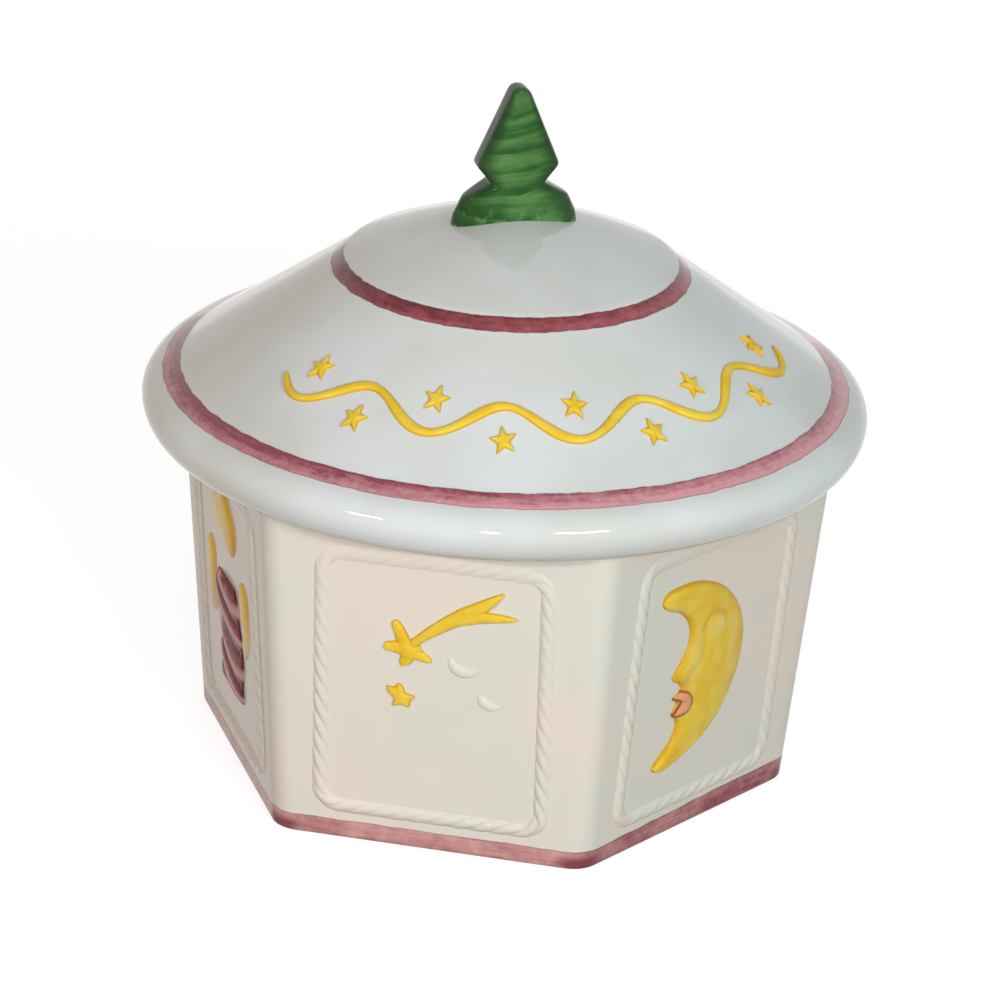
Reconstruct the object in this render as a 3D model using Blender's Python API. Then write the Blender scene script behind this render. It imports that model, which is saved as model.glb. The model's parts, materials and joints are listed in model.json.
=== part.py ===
import bpy
import bmesh
from math import atan, cos, hypot, pi, radians, sin
from mathutils import Matrix, Vector

# Lid, in metres
LID_RADIUS = 0.110
ROLL_WIDTH = 0.0105         # from the middle of the rolled rim to its outside
ROLL_LOWER = 0.0097         # from the seat up to the widest line
ROLL_UPPER = 0.008
ROLL_INSIDE = 0.0170        # thickness of the rim, from its outside to its inner face
ROLL_SWEEP = radians(66)
BRIM_START = 0.0118         # from the rim's outside in to where the straight brim begins
BRIM_OUTER_RISE = 0.0197    # heights of the lid are above its seat
BRIM_INNER_RADIUS = 0.0543
BRIM_INNER_RISE = 0.0509
DOME_STEP = 0.0045          # width of the slanting band between the brim and the dome
DOME_FOOT_RISE = 0.0549
DOME_RISE = 0.0138
DOME_POWER = 1.6
LID_WALL = 0.006
LID_TURN = radians(27)      # the lid stands turned, with its front near a corner of the body

# Jar body
BODY_HEIGHT = 0.105
LID_OVERHANG = 0.02125      # how far the lid's rim stands out past the middle of each side at the top
FOOT_TAPER = 0.0153         # by how much the body is narrower where it stands, across flats
CORNER_RADIUS = 0.009
INNER_CORNER_RADIUS = 0.005
WALL = 0.006
FLOOR = 0.007
FLOOR_ROUND = 0.006
FOOT_RING = 0.009           # width of the ring it stands on
FOOT_RECESS = 0.0012
FOOT_ROUND = 0.0014
LIP_ROUND = 0.0015
LEDGE_WIDTH = 0.01375       # from the middle of each side at the top in to the round mouth
LEDGE = 0.006               # thickness of the shelf that closes the top in to the mouth
LEDGE_DROP = 0.004
MOUTH_ROUND = 0.001

# Seat ring inside the lid, with the collar that drops into the mouth
RING_THICKNESS = 0.006
COLLAR_WALL = 0.0055
COLLAR_DEPTH = 0.009
COLLAR_CLEARANCE = 0.0022

# Fir-tree knob
TREE_HEIGHT = 0.0422
TREE_BASE_WIDTH = 0.0385
TREE_BASE_RISE = 0.0016
TREE_SHOULDER_WIDTH = 0.0325
TREE_SHOULDER_RISE = 0.0080
TREE_WAIST_WIDTH = 0.0165
TREE_WAIST_RISE = 0.0127
TREE_CROWN_WIDTH = 0.0255
TREE_CROWN_RISE = 0.0180
TREE_TIP_RADIUS = 0.0034
TREE_BASE_DEPTH = 0.0125
TREE_TIP_DEPTH = 0.0080
TREE_EDGE = 0.0022

# Rope frame round each side's panel
FRAME_SIDE_MARGIN = 0.0132  # from the foot's corner to the middle of the rope
FRAME_FOOT_MARGIN = 0.0115
FRAME_TOP_MARGIN = 0.0088
FRAME_CORNER = 0.006
ROPE_WIDTH = 0.0040
ROPE_RISE = 0.0015

# Sprigs on the panels: drawn in units, PANEL_UNITS of them to the panel's height inside its rope
PANEL_UNITS = 82
MOON_RISE = 0.0018
COMET_RISE = 0.0014
CURL_RISE = 0.0007
CANDLE_RISE = 0.0018
FLAME_RISE = 0.0015
SPRIG_SOFTENING = 0.32      # share of a sprig's rise that its soft edge takes

# Scroll and stars on the brim
SCROLL_INSET = 0.0187       # from the straight brim's outer edge in to the scroll's middle line
SCROLL_SWING = 0.0046
SCROLL_SPAN = radians(138)
SCROLL_WAVES = 4.5
SCROLL_WIDTH = 0.0030
SCROLL_RISE = 0.0013
STAR_RADIUS = 0.0042
STAR_WAIST = 0.46           # share of a star's radius at which its points meet
STAR_OFFSET = 0.0048        # from the scroll's middle line to a star's centre
STAR_RISE = 0.0012

JOINT_GAP = 0.0003          # slip or clearance between touching pieces
TURN_STEPS = 60
CORNER_STEPS = 7
SIDES = 6

lip_flats = 2 * (LID_RADIUS - LID_OVERHANG)
foot_flats = lip_flats - FOOT_TAPER
lean = FOOT_TAPER / 2 / BODY_HEIGHT
side_angle = 2 * pi / SIDES
seat = BODY_HEIGHT + JOINT_GAP
mouth_radius = lip_flats / 2 - LEDGE_WIDTH
brim_outer_radius = LID_RADIUS - BRIM_START
dome_radius = BRIM_INNER_RADIUS - DOME_STEP
scroll_radius = brim_outer_radius - SCROLL_INSET


def half_flats(z):
    return foot_flats / 2 + lean * z


def material(name, rgb, roughness):
    made = bpy.data.materials.new(name)
    made.use_nodes = True
    shader = made.node_tree.nodes["Principled BSDF"]
    shader.inputs["Base Color"].default_value = (*rgb, 1)
    shader.inputs["Roughness"].default_value = roughness
    shader.inputs["Metallic"].default_value = 0
    made.diffuse_color = (*rgb, 1)
    return made


def finish(name, bm, surface, matrix=None):
    """Turn a bmesh into an object, faces outwards"""
    bmesh.ops.recalc_face_normals(bm, faces=bm.faces)
    mesh = bpy.data.meshes.new(name)
    bm.to_mesh(mesh)
    bm.free()
    mesh.materials.append(surface)
    mesh.shade_smooth()
    mesh.set_sharp_from_angle(angle=radians(35))
    made = bpy.data.objects.new(name, mesh)
    bpy.context.scene.collection.objects.link(made)
    if matrix is not None:
        made.matrix_world = matrix
    return made


def hexagon(apothem, radius, z):
    """Ring of points round a hexagon with rounded corners"""
    points = []
    reach = (apothem - radius) / cos(side_angle / 2)
    for side in range(SIDES):
        corner = (side - 1) * side_angle
        for step in range(CORNER_STEPS + 1):
            turn = corner + side_angle * (step / CORNER_STEPS - 0.5)
            points.append(Vector((reach * cos(corner) + radius * cos(turn),
                                  reach * sin(corner) + radius * sin(turn), z)))
    return points


def circle(radius, z):
    """Ring of points round a circle, as many as a hexagon's ring has"""
    points = []
    for side in range(SIDES):
        for step in range(CORNER_STEPS + 1):
            turn = side_angle * (side - 1.5 + (step + 0.5) / (CORNER_STEPS + 1))
            points.append(Vector((radius * cos(turn), radius * sin(turn), z)))
    return points


def skin(bm, rings, closed=False):
    """Quads between each ring of points and the next; open ends are capped, a closed run joins up"""
    rows = [[bm.verts.new(point) for point in ring] for ring in rings]
    pairs = list(zip(rows, rows[1:]))
    if closed:
        pairs.append((rows[-1], rows[0]))
    for lower, upper in pairs:
        for i in range(len(lower)):
            j = (i + 1) % len(lower)
            bm.faces.new((lower[i], lower[j], upper[j], upper[i]))
    if not closed:
        bm.faces.new(rows[0])
        bm.faces.new(rows[-1])


def jar_body(surface):
    recess = foot_flats / 2 - FOOT_ROUND - FOOT_RING
    rings = [hexagon(recess - FOOT_RECESS, CORNER_RADIUS, FOOT_RECESS),
             hexagon(recess, CORNER_RADIUS, 0)]
    for step in range(4):
        turn = step / 3 * pi / 2
        z = FOOT_ROUND * (1 - cos(turn))
        rings.append(hexagon(half_flats(z) - FOOT_ROUND * (1 - sin(turn)), CORNER_RADIUS, z))
    for step in range(4):
        turn = step / 3 * pi / 2
        z = BODY_HEIGHT - LIP_ROUND * (1 - sin(turn))
        rings.append(hexagon(half_flats(z) - LIP_ROUND * (1 - cos(turn)), CORNER_RADIUS, z))
    for step in range(3):
        turn = step / 2 * pi / 2
        rings.append(circle(mouth_radius + MOUTH_ROUND * (1 - sin(turn)),
                            BODY_HEIGHT - MOUTH_ROUND * (1 - cos(turn))))
    rings.append(circle(mouth_radius, BODY_HEIGHT - LEDGE))
    top = BODY_HEIGHT - LEDGE - LEDGE_DROP
    rings.append(hexagon(half_flats(top) - WALL, INNER_CORNER_RADIUS, top))
    for step in range(4):
        turn = step / 3 * pi / 2
        z = FLOOR + FLOOR_ROUND * (1 - sin(turn))
        rings.append(hexagon(half_flats(z) - WALL - FLOOR_ROUND * (1 - cos(turn)), INNER_CORNER_RADIUS, z))
    bm = bmesh.new()
    skin(bm, rings)
    return finish("jar_body", bm, surface)


def turned(name, profile, surface, hollow_ring=False):
    """Spin a profile of (radius, height) points round the axis"""
    bm = bmesh.new()
    verts = [bm.verts.new((radius, 0, z)) for radius, z in profile]
    edges = [bm.edges.new(pair) for pair in zip(verts, verts[1:])]
    if hollow_ring:
        edges.append(bm.edges.new((verts[-1], verts[0])))
    bmesh.ops.spin(bm, geom=verts + edges, cent=(0, 0, 0), axis=(0, 0, 1), angle=2 * pi, steps=TURN_STEPS)
    bmesh.ops.remove_doubles(bm, verts=bm.verts, dist=1e-6)
    return finish(name, bm, surface)


def dome_height(radius):
    """Height of the dome's outside at a distance from the axis"""
    return seat + DOME_FOOT_RISE + DOME_RISE * (1 - (radius / dome_radius) ** DOME_POWER)


def dome_points(steps):
    radii = [dome_radius * (1 - i / steps) for i in range(steps + 1)]
    return [(radius, dome_height(radius)) for radius in radii]


def brim_slope():
    return (BRIM_INNER_RISE - BRIM_OUTER_RISE) / (brim_outer_radius - BRIM_INNER_RADIUS)


def brim_height(radius):
    """Height of the brim's outside at a distance from the axis"""
    return seat + BRIM_OUTER_RISE + (brim_outer_radius - radius) * brim_slope()


def lid_outside():
    """Profile from the seat, round the rolled rim, up the brim and over the dome"""
    middle = LID_RADIUS - ROLL_WIDTH
    widest = seat + ROLL_LOWER
    points = []
    for step in range(6):
        turn = (step / 5 - 1) * pi / 2
        points.append((middle + ROLL_WIDTH * cos(turn), widest + ROLL_LOWER * sin(turn)))
    for step in range(1, 6):
        turn = step / 5 * ROLL_SWEEP
        points.append((middle + ROLL_WIDTH * cos(turn), widest + ROLL_UPPER * sin(turn)))
    points.append((brim_outer_radius, brim_height(brim_outer_radius)))
    points.append((BRIM_INNER_RADIUS, brim_height(BRIM_INNER_RADIUS)))
    return points + dome_points(7)


def lid_inside():
    """Profile from the dome's underside down to the rim's inner face"""
    slant = LID_WALL * hypot(1, brim_slope())
    rim_inside = LID_RADIUS - ROLL_INSIDE
    points = [(radius, z - LID_WALL) for radius, z in reversed(dome_points(4)) if radius < dome_radius]
    points.append((BRIM_INNER_RADIUS - LID_WALL / 2, brim_height(BRIM_INNER_RADIUS) - slant))
    points.append((rim_inside, brim_height(rim_inside) - slant))
    points.append((rim_inside, seat))
    return points


def lid_shell(surface):
    return turned("lid", lid_outside()[::-1] + lid_inside()[::-1], surface)


def seat_ring(surface):
    outer = LID_RADIUS - ROLL_INSIDE - JOINT_GAP
    collar = mouth_radius - COLLAR_CLEARANCE
    inner = collar - COLLAR_WALL
    foot = seat - COLLAR_DEPTH
    edge = COLLAR_WALL / 4
    profile = [(outer, seat), (outer, seat + RING_THICKNESS), (inner, seat + RING_THICKNESS),
               (inner, foot + edge), (inner + edge, foot), (collar - edge, foot),
               (collar, foot + edge), (collar, seat)]
    return turned("lid_seat_ring", profile, surface, hollow_ring=True)


def tree_outline():
    """Right half of the tree from its foot to its tip, as (half width, height)"""
    tip = TREE_HEIGHT - TREE_TIP_RADIUS
    half = [(TREE_BASE_WIDTH / 2, -TREE_EDGE), (TREE_BASE_WIDTH / 2, TREE_BASE_RISE),
            (TREE_SHOULDER_WIDTH / 2, TREE_SHOULDER_RISE), (TREE_WAIST_WIDTH / 2, TREE_WAIST_RISE),
            (TREE_CROWN_WIDTH / 2, TREE_CROWN_RISE)]
    lean_in = atan((TREE_CROWN_WIDTH / 2 - TREE_TIP_RADIUS) / (tip - TREE_CROWN_RISE))
    for step in range(5):
        turn = lean_in + (pi / 2 - lean_in) * step / 4
        half.append((TREE_TIP_RADIUS * cos(turn), tip + TREE_TIP_RADIUS * sin(turn)))
    return half


def tree_knob(surface):
    """Flat fir tree with soft edges, its foot cut to the dome"""
    right = tree_outline()
    left = [(-x, z) for x, z in reversed(right[:-1])]
    foot = dome_height(0) - TREE_EDGE
    bm = bmesh.new()
    outline = [bm.verts.new((x, 0, z)) for x, z in right + left]
    face = bm.faces.new(outline)
    grown = bmesh.ops.extrude_face_region(bm, geom=[face])
    for vert in [item for item in grown["geom"] if isinstance(item, bmesh.types.BMVert)]:
        vert.co.y = 1
    for vert in bm.verts:
        rise = max(0, vert.co.z) / TREE_HEIGHT
        depth = TREE_BASE_DEPTH + (TREE_TIP_DEPTH - TREE_BASE_DEPTH) * rise
        vert.co.y = depth * (vert.co.y - 0.5)
        vert.co.z += foot
    tree = finish("tree_knob", bm, surface)
    soften = tree.modifiers.new("soft edges", "BEVEL")
    soften.width = TREE_EDGE
    soften.segments = 3
    soften.angle_limit = radians(50)
    cutter = turned("dome_cutter", [(0, dome_height(0) + JOINT_GAP)]
                    + [(r, z + JOINT_GAP) for r, z in dome_points(7)[::-1][1:]]
                    + [(dome_radius, seat), (0, seat)], surface)
    cutter.hide_render = True
    cutter.display_type = "WIRE"
    seating = tree.modifiers.new("seat on the dome", "BOOLEAN")
    seating.object = cutter
    seating.solver = "EXACT"
    return tree


def panel_matrix(side):
    """Frame of one side: x along it, y up its slope from the foot, z outwards"""
    turn = (side - 1) * side_angle - pi / 2
    out = Vector((cos(turn), sin(turn), 0))
    tilt = atan(lean)
    up = out * sin(tilt) + Vector((0, 0, cos(tilt)))
    normal = out * cos(tilt) - Vector((0, 0, sin(tilt)))
    along = up.cross(normal)
    columns = Matrix((along, up, normal)).transposed().to_4x4()
    return Matrix.Translation(out * foot_flats / 2) @ columns


def panel_size():
    """Half width and lowest and highest line of the rope's middle"""
    slant = hypot(1, lean)
    half = foot_flats / 2 * sin(side_angle / 2) / cos(side_angle / 2) - FRAME_SIDE_MARGIN
    return half, FRAME_FOOT_MARGIN * slant, (BODY_HEIGHT - FRAME_TOP_MARGIN) * slant


def panel_point(x, y):
    """A drawing's units, counted from the panel's middle, as metres on the side"""
    half, low, high = panel_size()
    unit = (high - low - ROPE_WIDTH) / PANEL_UNITS
    return x * unit, (low + high) / 2 + y * unit


def rope_frame(side, surface):
    """Half-round band round the panel"""
    half, low, high = panel_size()
    rings = []
    corners = [(half, low, -0.5), (half, high, 0), (-half, high, 0.5), (-half, low, 1)]
    for x, y, start in corners:
        centre_x = x - FRAME_CORNER * (1 if x > 0 else -1)
        centre_y = y + FRAME_CORNER * (1 if y == low else -1)
        for step in range(4):
            turn = (start + step / 6) * pi
            ring = []
            for angle in (0, 0.2, 0.5, 0.8, 1):
                out = FRAME_CORNER + ROPE_WIDTH / 2 * cos(angle * pi)
                ring.append(Vector((centre_x + out * cos(turn), centre_y + out * sin(turn),
                                    JOINT_GAP + ROPE_RISE * sin(angle * pi))))
            rings.append(ring)
    bm = bmesh.new()
    skin(bm, rings, closed=True)
    return finish(f"rope_frame_{side}", bm, surface, panel_matrix(side))


def raised(name, outline, rise, surface, place, matrix=None):
    """Flat outline raised into a sprig with a softened top edge; place maps (x, y, height) to the surface"""
    bm = bmesh.new()
    foot = bm.faces.new([bm.verts.new((x, y, JOINT_GAP)) for x, y in outline])
    foot.normal_update()
    if foot.normal.z < 0:
        foot.normal_flip()
    softening = rise * SPRIG_SOFTENING
    grown = bmesh.ops.extrude_face_region(bm, geom=[foot])["geom"]
    raised_verts = [item for item in grown if isinstance(item, bmesh.types.BMVert)]
    bmesh.ops.translate(bm, vec=(0, 0, rise - softening), verts=raised_verts)
    top = [item for item in grown if isinstance(item, bmesh.types.BMFace)]
    bmesh.ops.inset_region(bm, faces=top, thickness=softening, depth=0, use_even_offset=True)
    bmesh.ops.translate(bm, vec=(0, 0, softening), verts=top[0].verts)
    for vert in bm.verts:
        vert.co = place(*vert.co)
    return finish(name, bm, surface, matrix)


def flat(x, y, height):
    return Vector((x, y, height))


def smooth(points, steps=2):
    """Closed curve through hand-set points, by Catmull-Rom interpolation"""
    curve = []
    count = len(points)
    for i in range(count):
        a, b, c, d = (Vector(points[(i + k) % count]) for k in (-1, 0, 1, 2))
        for step in range(steps):
            t = step / steps
            curve.append(0.5 * (2 * b + (c - a) * t + (2 * a - 5 * b + 4 * c - d) * t ** 2
                                + (3 * b - a - 3 * c + d) * t ** 3))
    return [(point.x, point.y) for point in curve]


def star(x, y, outer, inner, turn, points=5):
    tips = []
    for i in range(2 * points):
        reach = inner if i % 2 else outer
        angle = turn + i * pi / points
        tips.append((x + reach * cos(angle), y + reach * sin(angle)))
    return tips


def comet_outline():
    """Star of four blunt rays, whose fifth runs on towards the upper right as a forked tail"""
    rays = [(-4.3, 15.4), (-4, 13.7), (-1.4, 12.2), (-0.3, 10.7), (-1, 9.7), (-3.9, 10.2), (-5.6, 10.2),
            (-6.4, 8.6), (-7.8, 7.8), (-9.6, 8.2), (-10.5, 9.8), (-10.1, 11.8), (-10.9, 13.2),
            (-14.8, 12.7), (-15.6, 14.2), (-14.9, 15.8), (-11.3, 16.3),
            (-12.6, 19.6), (-12.7, 22.2), (-11.6, 23.5), (-9.7, 21.8), (-7.9, 18.5), (-6.1, 17.5)]
    tail = [(-3.1, 20.6), (2.4, 25), (7.2, 28.7), (12.6, 31.8), (15.6, 34.8), (19.5, 37), (21.8, 36.8),
            (20.4, 34.8), (17.4, 32), (16.2, 30), (20, 29.7), (25.4, 28.5), (22.3, 26.8), (15.2, 26),
            (9.1, 24.6), (6.1, 23.1), (1.9, 20), (-1.8, 17.1)]
    return (rays + tail)[::-1]


def crescent(x, y, radius, thick, start, end, steps=7):
    """Thin new moon between two angles"""
    outer = [start + (end - start) * i / steps for i in range(steps + 1)]
    points = [(x + radius * cos(a), y + radius * sin(a)) for a in outer]
    for i in range(steps - 1, 0, -1):
        reach = radius - thick * sin(pi * i / steps)
        points.append((x + reach * cos(outer[i]), y + reach * sin(outer[i])))
    return points


def moon_outline():
    """Crescent with a profile on its hollow side"""
    back = [(-25, 30.4), (-19.5, 33), (-10.5, 32.8), (-1.5, 29.8), (6, 25), (12, 18), (15.5, 9.5),
            (15.9, 0), (13.2, -10), (8, -18.6), (1, -24.4), (-8, -28.4), (-16.5, -30.4), (-20.6, -29)]
    front = [(-18.4, -25.8), (-14.8, -22.2), (-12.2, -17.8), (-12.6, -14.2), (-14.8, -11.6),
             (-13, -8.4), (-15.2, -6.2), (-11.8, -4.2), (-12.8, -1.8), (-16.6, 1.2), (-13.6, 5.6),
             (-11, 10), (-10.6, 15.4), (-12.6, 20), (-17, 24.2), (-22.4, 27.2)]
    return smooth(back + front)


def candle_outline():
    """Stout spiral candle: its edges swell by turns, the left one half a turn after the right"""
    half, swell, low, high, turns = 13, 1.3, -30, 8.5, 3
    steps = 4 * turns
    right = []
    left = []
    for step in range(steps + 1):
        y = low + (high - low) * step / steps
        wave = swell * sin(step / steps * turns * 2 * pi)
        right.append((half + wave, y))
        left.append((-half + wave, y))
    return right + left[::-1]


def flame_outline():
    return smooth([(0.5, 19), (8.5, 20.5), (13, 25.5), (11.5, 31.5), (6, 35.6), (1.5, 39.6),
                   (-3, 36), (-9.5, 33), (-13.2, 27.5), (-8.6, 21)])


def glow_outlines():
    """One leaf-shaped ray on either side of the candle"""
    ray = [(18.6, -12), (22.6, -7), (24.8, 0), (25, 8), (23.4, 15), (20.4, 18.2), (17.4, 14), (16.2, 6),
           (16.2, -2), (16.8, -8)]
    right = smooth(ray)
    return [(-x, y) for x, y in reversed(right)], right


def on_panel(outline):
    return [panel_point(x, y) for x, y in outline]


def comet_panel(side, yellow, white):
    matrix = panel_matrix(side)
    raised(f"comet_{side}", on_panel(comet_outline()), COMET_RISE, yellow, flat, matrix)
    little = star(-9.6, -2.7, 4.4, 2.5, radians(75))
    raised(f"little_star_{side}", on_panel(little), COMET_RISE, yellow, flat, matrix)
    upper = crescent(10, 13, 4.6, 1.9, radians(190), radians(335))
    lower = crescent(18.6, 2, 4, 1.7, radians(180), radians(310))
    raised(f"upper_curl_{side}", on_panel(upper), CURL_RISE, white, flat, matrix)
    raised(f"lower_curl_{side}", on_panel(lower), CURL_RISE, white, flat, matrix)


def moon_panel(side, yellow):
    raised(f"moon_{side}", on_panel(moon_outline()), MOON_RISE, yellow, flat, panel_matrix(side))


def candle_panel(side, yellow, plum):
    matrix = panel_matrix(side)
    raised(f"candle_{side}", on_panel(candle_outline()), CANDLE_RISE, plum, flat, matrix)
    raised(f"flame_{side}", on_panel(flame_outline()), FLAME_RISE, yellow, flat, matrix)
    for name, ray in zip(("left", "right"), glow_outlines()):
        raised(f"glow_{side}_{name}", on_panel(ray), FLAME_RISE, yellow, flat, matrix)


def on_brim(turn, radius, height):
    """Point over the brim: angle round the lid from its front, distance from the axis, height off the brim"""
    tilt = atan(brim_slope())
    out = radius + height * sin(tilt)
    angle = turn - pi / 2
    return Vector((out * cos(angle), out * sin(angle), brim_height(radius) + height * cos(tilt)))


def scroll_line(share):
    """Middle line of the scroll: share 0 to 1 along it, as (angle, distance from the axis)"""
    turn = SCROLL_SPAN * (share - 0.5)
    return turn, scroll_radius + SCROLL_SWING * sin(2 * pi * SCROLL_WAVES * share)


def lid_scroll(yellow, matrix):
    steps = round(14 * SCROLL_WAVES)
    rings = []
    for i in range(steps + 1):
        share = i / steps
        turn, radius = scroll_line(share)
        ahead = scroll_line(share + 0.001)
        along = (ahead[0] - turn) * radius
        rise = ahead[1] - radius
        length = hypot(along, rise)
        taper = 0.35 + 0.65 * min(1, 14 * share, 14 * (1 - share))
        half = SCROLL_WIDTH / 2 * taper
        ring = []
        for across, height in ((1, 0), (0.8, 0.65), (0.35, 1), (-0.35, 1), (-0.8, 0.65), (-1, 0)):
            offset = half * across
            ring.append(on_brim(turn - offset * rise / length / radius, radius + offset * along / length,
                                JOINT_GAP + SCROLL_RISE * height))
        rings.append(ring)
    bm = bmesh.new()
    skin(bm, rings)
    return finish("lid_scroll", bm, yellow, matrix)


def lid_stars(yellow, matrix):
    """A star in every bay of the scroll, on alternate sides of its middle line"""
    bays = round(2 * SCROLL_WAVES)
    for bay in range(bays):
        share = (bay + 0.5) / bays
        turn = SCROLL_SPAN * (share - 0.5)
        radius = scroll_radius + STAR_OFFSET * (-1 if bay % 2 == 0 else 1)
        outline = star(0, 0, STAR_RADIUS, STAR_RADIUS * STAR_WAIST, pi / 2)

        def place(x, y, height):
            return on_brim(turn + x / radius, radius - y, height)

        raised(f"lid_star_{bay + 1}", outline, STAR_RISE, yellow, place, matrix)


def build():
    for old in list(bpy.data.objects):
        bpy.data.objects.remove(old)
    cream = material("cream glaze", (0.74, 0.71, 0.63), 0.16)
    white = material("cool white glaze", (0.70, 0.73, 0.75), 0.14)
    bare = material("unglazed seat ring", (0.62, 0.58, 0.50), 0.75)
    yellow = material("yellow underglaze", (0.80, 0.50, 0.03), 0.18)
    plum = material("plum underglaze", (0.35, 0.10, 0.13), 0.18)
    green = material("green glaze", (0.03, 0.13, 0.03), 0.08)

    jar_body(cream)
    for side in range(1, SIDES + 1):
        rope_frame(side, cream)
    for side in (1, 4):
        comet_panel(side, yellow, cream)
    for side in (2, 5):
        moon_panel(side, yellow)
    for side in (3, 6):
        candle_panel(side, yellow, plum)

    turned_lid = Matrix.Rotation(LID_TURN, 4, "Z")
    lid_shell(white)
    seat_ring(bare)
    tree_knob(green).matrix_world = turned_lid
    lid_scroll(yellow, turned_lid)
    lid_stars(yellow, turned_lid)


build()
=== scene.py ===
import bpy
import json
import math
from functools import partial
import numpy as np
from mathutils import Matrix, Vector


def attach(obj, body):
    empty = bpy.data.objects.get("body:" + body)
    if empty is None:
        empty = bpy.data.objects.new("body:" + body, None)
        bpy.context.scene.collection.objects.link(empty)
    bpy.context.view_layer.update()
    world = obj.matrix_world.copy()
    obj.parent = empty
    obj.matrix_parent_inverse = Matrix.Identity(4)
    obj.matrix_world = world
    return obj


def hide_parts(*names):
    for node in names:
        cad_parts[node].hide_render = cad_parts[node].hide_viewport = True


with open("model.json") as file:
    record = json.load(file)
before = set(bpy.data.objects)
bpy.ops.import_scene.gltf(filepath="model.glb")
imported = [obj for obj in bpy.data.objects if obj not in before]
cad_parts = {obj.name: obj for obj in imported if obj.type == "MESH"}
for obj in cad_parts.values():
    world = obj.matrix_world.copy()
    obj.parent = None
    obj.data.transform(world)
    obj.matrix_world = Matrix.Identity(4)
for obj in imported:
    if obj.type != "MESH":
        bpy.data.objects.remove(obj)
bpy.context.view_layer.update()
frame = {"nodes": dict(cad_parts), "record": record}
print("frame loaded")

mm = 0.001
pi = math.pi


# Closed grid of points (rows, columns, 3) as vertices and faces: the last column joins the first. In a ring the
# last row joins the first too, and otherwise both shrink to one vertex, a pole
def gridSurface(points, ring=False):
    rows, columns = points.shape[:2]
    index = np.arange(rows * columns).reshape(rows, columns)
    if ring:
        index = np.vstack([index, index[:1]])
    else:
        index[0], index[-1] = index[0, 0], index[-1, 0]
    index = np.hstack([index, index[:, :1]])
    quads = np.stack([index[:-1, :-1], index[:-1, 1:], index[1:, 1:], index[1:, :-1]], axis=-1).reshape(-1, 4)
    low = quads[:, 0] == quads[:, 1]
    high = quads[:, 2] == quads[:, 3]
    faces = quads[~low & ~high].tolist() + quads[low][:, 1:].tolist() + quads[high][:, :3].tolist()
    return points.reshape(-1, 3), faces


# One object from closed surfaces in millimetres, each turned to face outwards by the sign of its volume. Marks
# are numbers for every point, which the materials read as attributes
def addPiece(name, body, replaced, slotName, surfaces, marks=None):
    allPoints, allFaces, start = [], [], 0
    for points, faces in surfaces:
        triangles = np.array([(f[0], f[k], f[k + 1]) for f in faces for k in range(1, len(f) - 1)])
        a, b, c = (points[triangles[:, k]] - points.mean(axis=0) for k in range(3))
        if np.einsum("ij,ij->i", a, np.cross(b, c)).sum() < 0:
            faces = [f[::-1] for f in faces]
        allPoints.append(points)
        allFaces += [[i + start for i in f] for f in faces]
        start += len(points)
    points = np.concatenate(allPoints) * mm
    # a pole leaves the rest of its row unused
    used = np.zeros(len(points), bool)
    used[[i for f in allFaces for i in f]] = True
    renumbered = np.cumsum(used) - 1
    mesh = bpy.data.meshes.new(name)
    mesh.from_pydata(points[used].tolist(), [], [renumbered[f].tolist() for f in allFaces])
    for mark, values in (marks or {}).items():
        layer = mesh.attributes.new(mark, "FLOAT", "POINT")
        layer.data.foreach_set("value", np.ravel(values).astype(np.float32)[used])
    mesh.shade_smooth()
    mesh.materials.append(slotFinish[slotName])
    piece = bpy.data.objects.new(name, mesh)
    bpy.context.scene.collection.objects.link(piece)
    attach(piece, body)
    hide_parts(*replaced)
    return piece


# Distance along a polyline to each of its points
def lengthAlong(line):
    return np.concatenate([[0], np.cumsum(np.hypot(*np.diff(line, axis=0).T))])


# The points at given distances along a polyline
def pointsAt(line, where):
    length = lengthAlong(line)
    return np.stack([np.interp(where, length, line[:, k]) for k in (0, 1)], axis=1)


# A polyline of (a, b) points resampled at an even step, then rounded by a Gaussian of so many steps. An open
# line keeps its ends
def evenCurve(points, step, soften, closed=False):
    points = np.asarray(points, float)
    if closed:
        points = np.vstack([points, points[:1]])
    total = lengthAlong(points)[-1]
    curve = pointsAt(points, np.linspace(0, total, max(6, int(round(total / step)) + 1)))
    if closed:
        curve = curve[:-1]
    reach = min(int(3 * soften) + 1, len(curve) - 2)
    kernel = np.exp(-0.5 * (np.arange(-reach, reach + 1) / soften) ** 2)
    kernel /= kernel.sum()
    before, after = curve[-reach:], curve[:reach]
    if not closed:
        before, after = 2 * curve[:1] - curve[reach:0:-1], 2 * curve[-1:] - curve[-2:-reach - 2:-1]
    padded = np.concatenate([before, curve, after])
    return np.stack([np.convolve(padded[:, k], kernel, "valid") for k in (0, 1)], axis=1)


# A smooth line through given points, by Catmull-Rom cubics
def throughPoints(points, steps=12, closed=True):
    p = np.asarray(points, float)
    if closed:
        a, b, c, d = (np.roll(p, -k, axis=0) for k in (-1, 0, 1, 2))
    else:
        q = np.vstack([2 * p[:1] - p[1:2], p, 2 * p[-1:] - p[-2:-1]])
        a, b, c, d = q[:-3], q[1:-2], q[2:-1], q[3:]
    t = (np.arange(steps) / steps)[None, :, None]
    a, b, c, d = (k[:, None, :] for k in (a, b, c, d))
    curve = 0.5 * (2 * b + (c - a) * t + (2 * a - 5 * b + 4 * c - d) * t ** 2
                   + (3 * b - a - 3 * c + d) * t ** 3).reshape(-1, p.shape[1])
    return curve if closed else np.vstack([curve, p[-1:]])


# Points on an ellipse round (x, y), or on a circle where only its radius is given
def arcPoints(x, y, turn, wide, high=None):
    high = wide if high is None else high
    return np.stack([x + wide * np.cos(turn), y + high * np.sin(turn)], 1)


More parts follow.
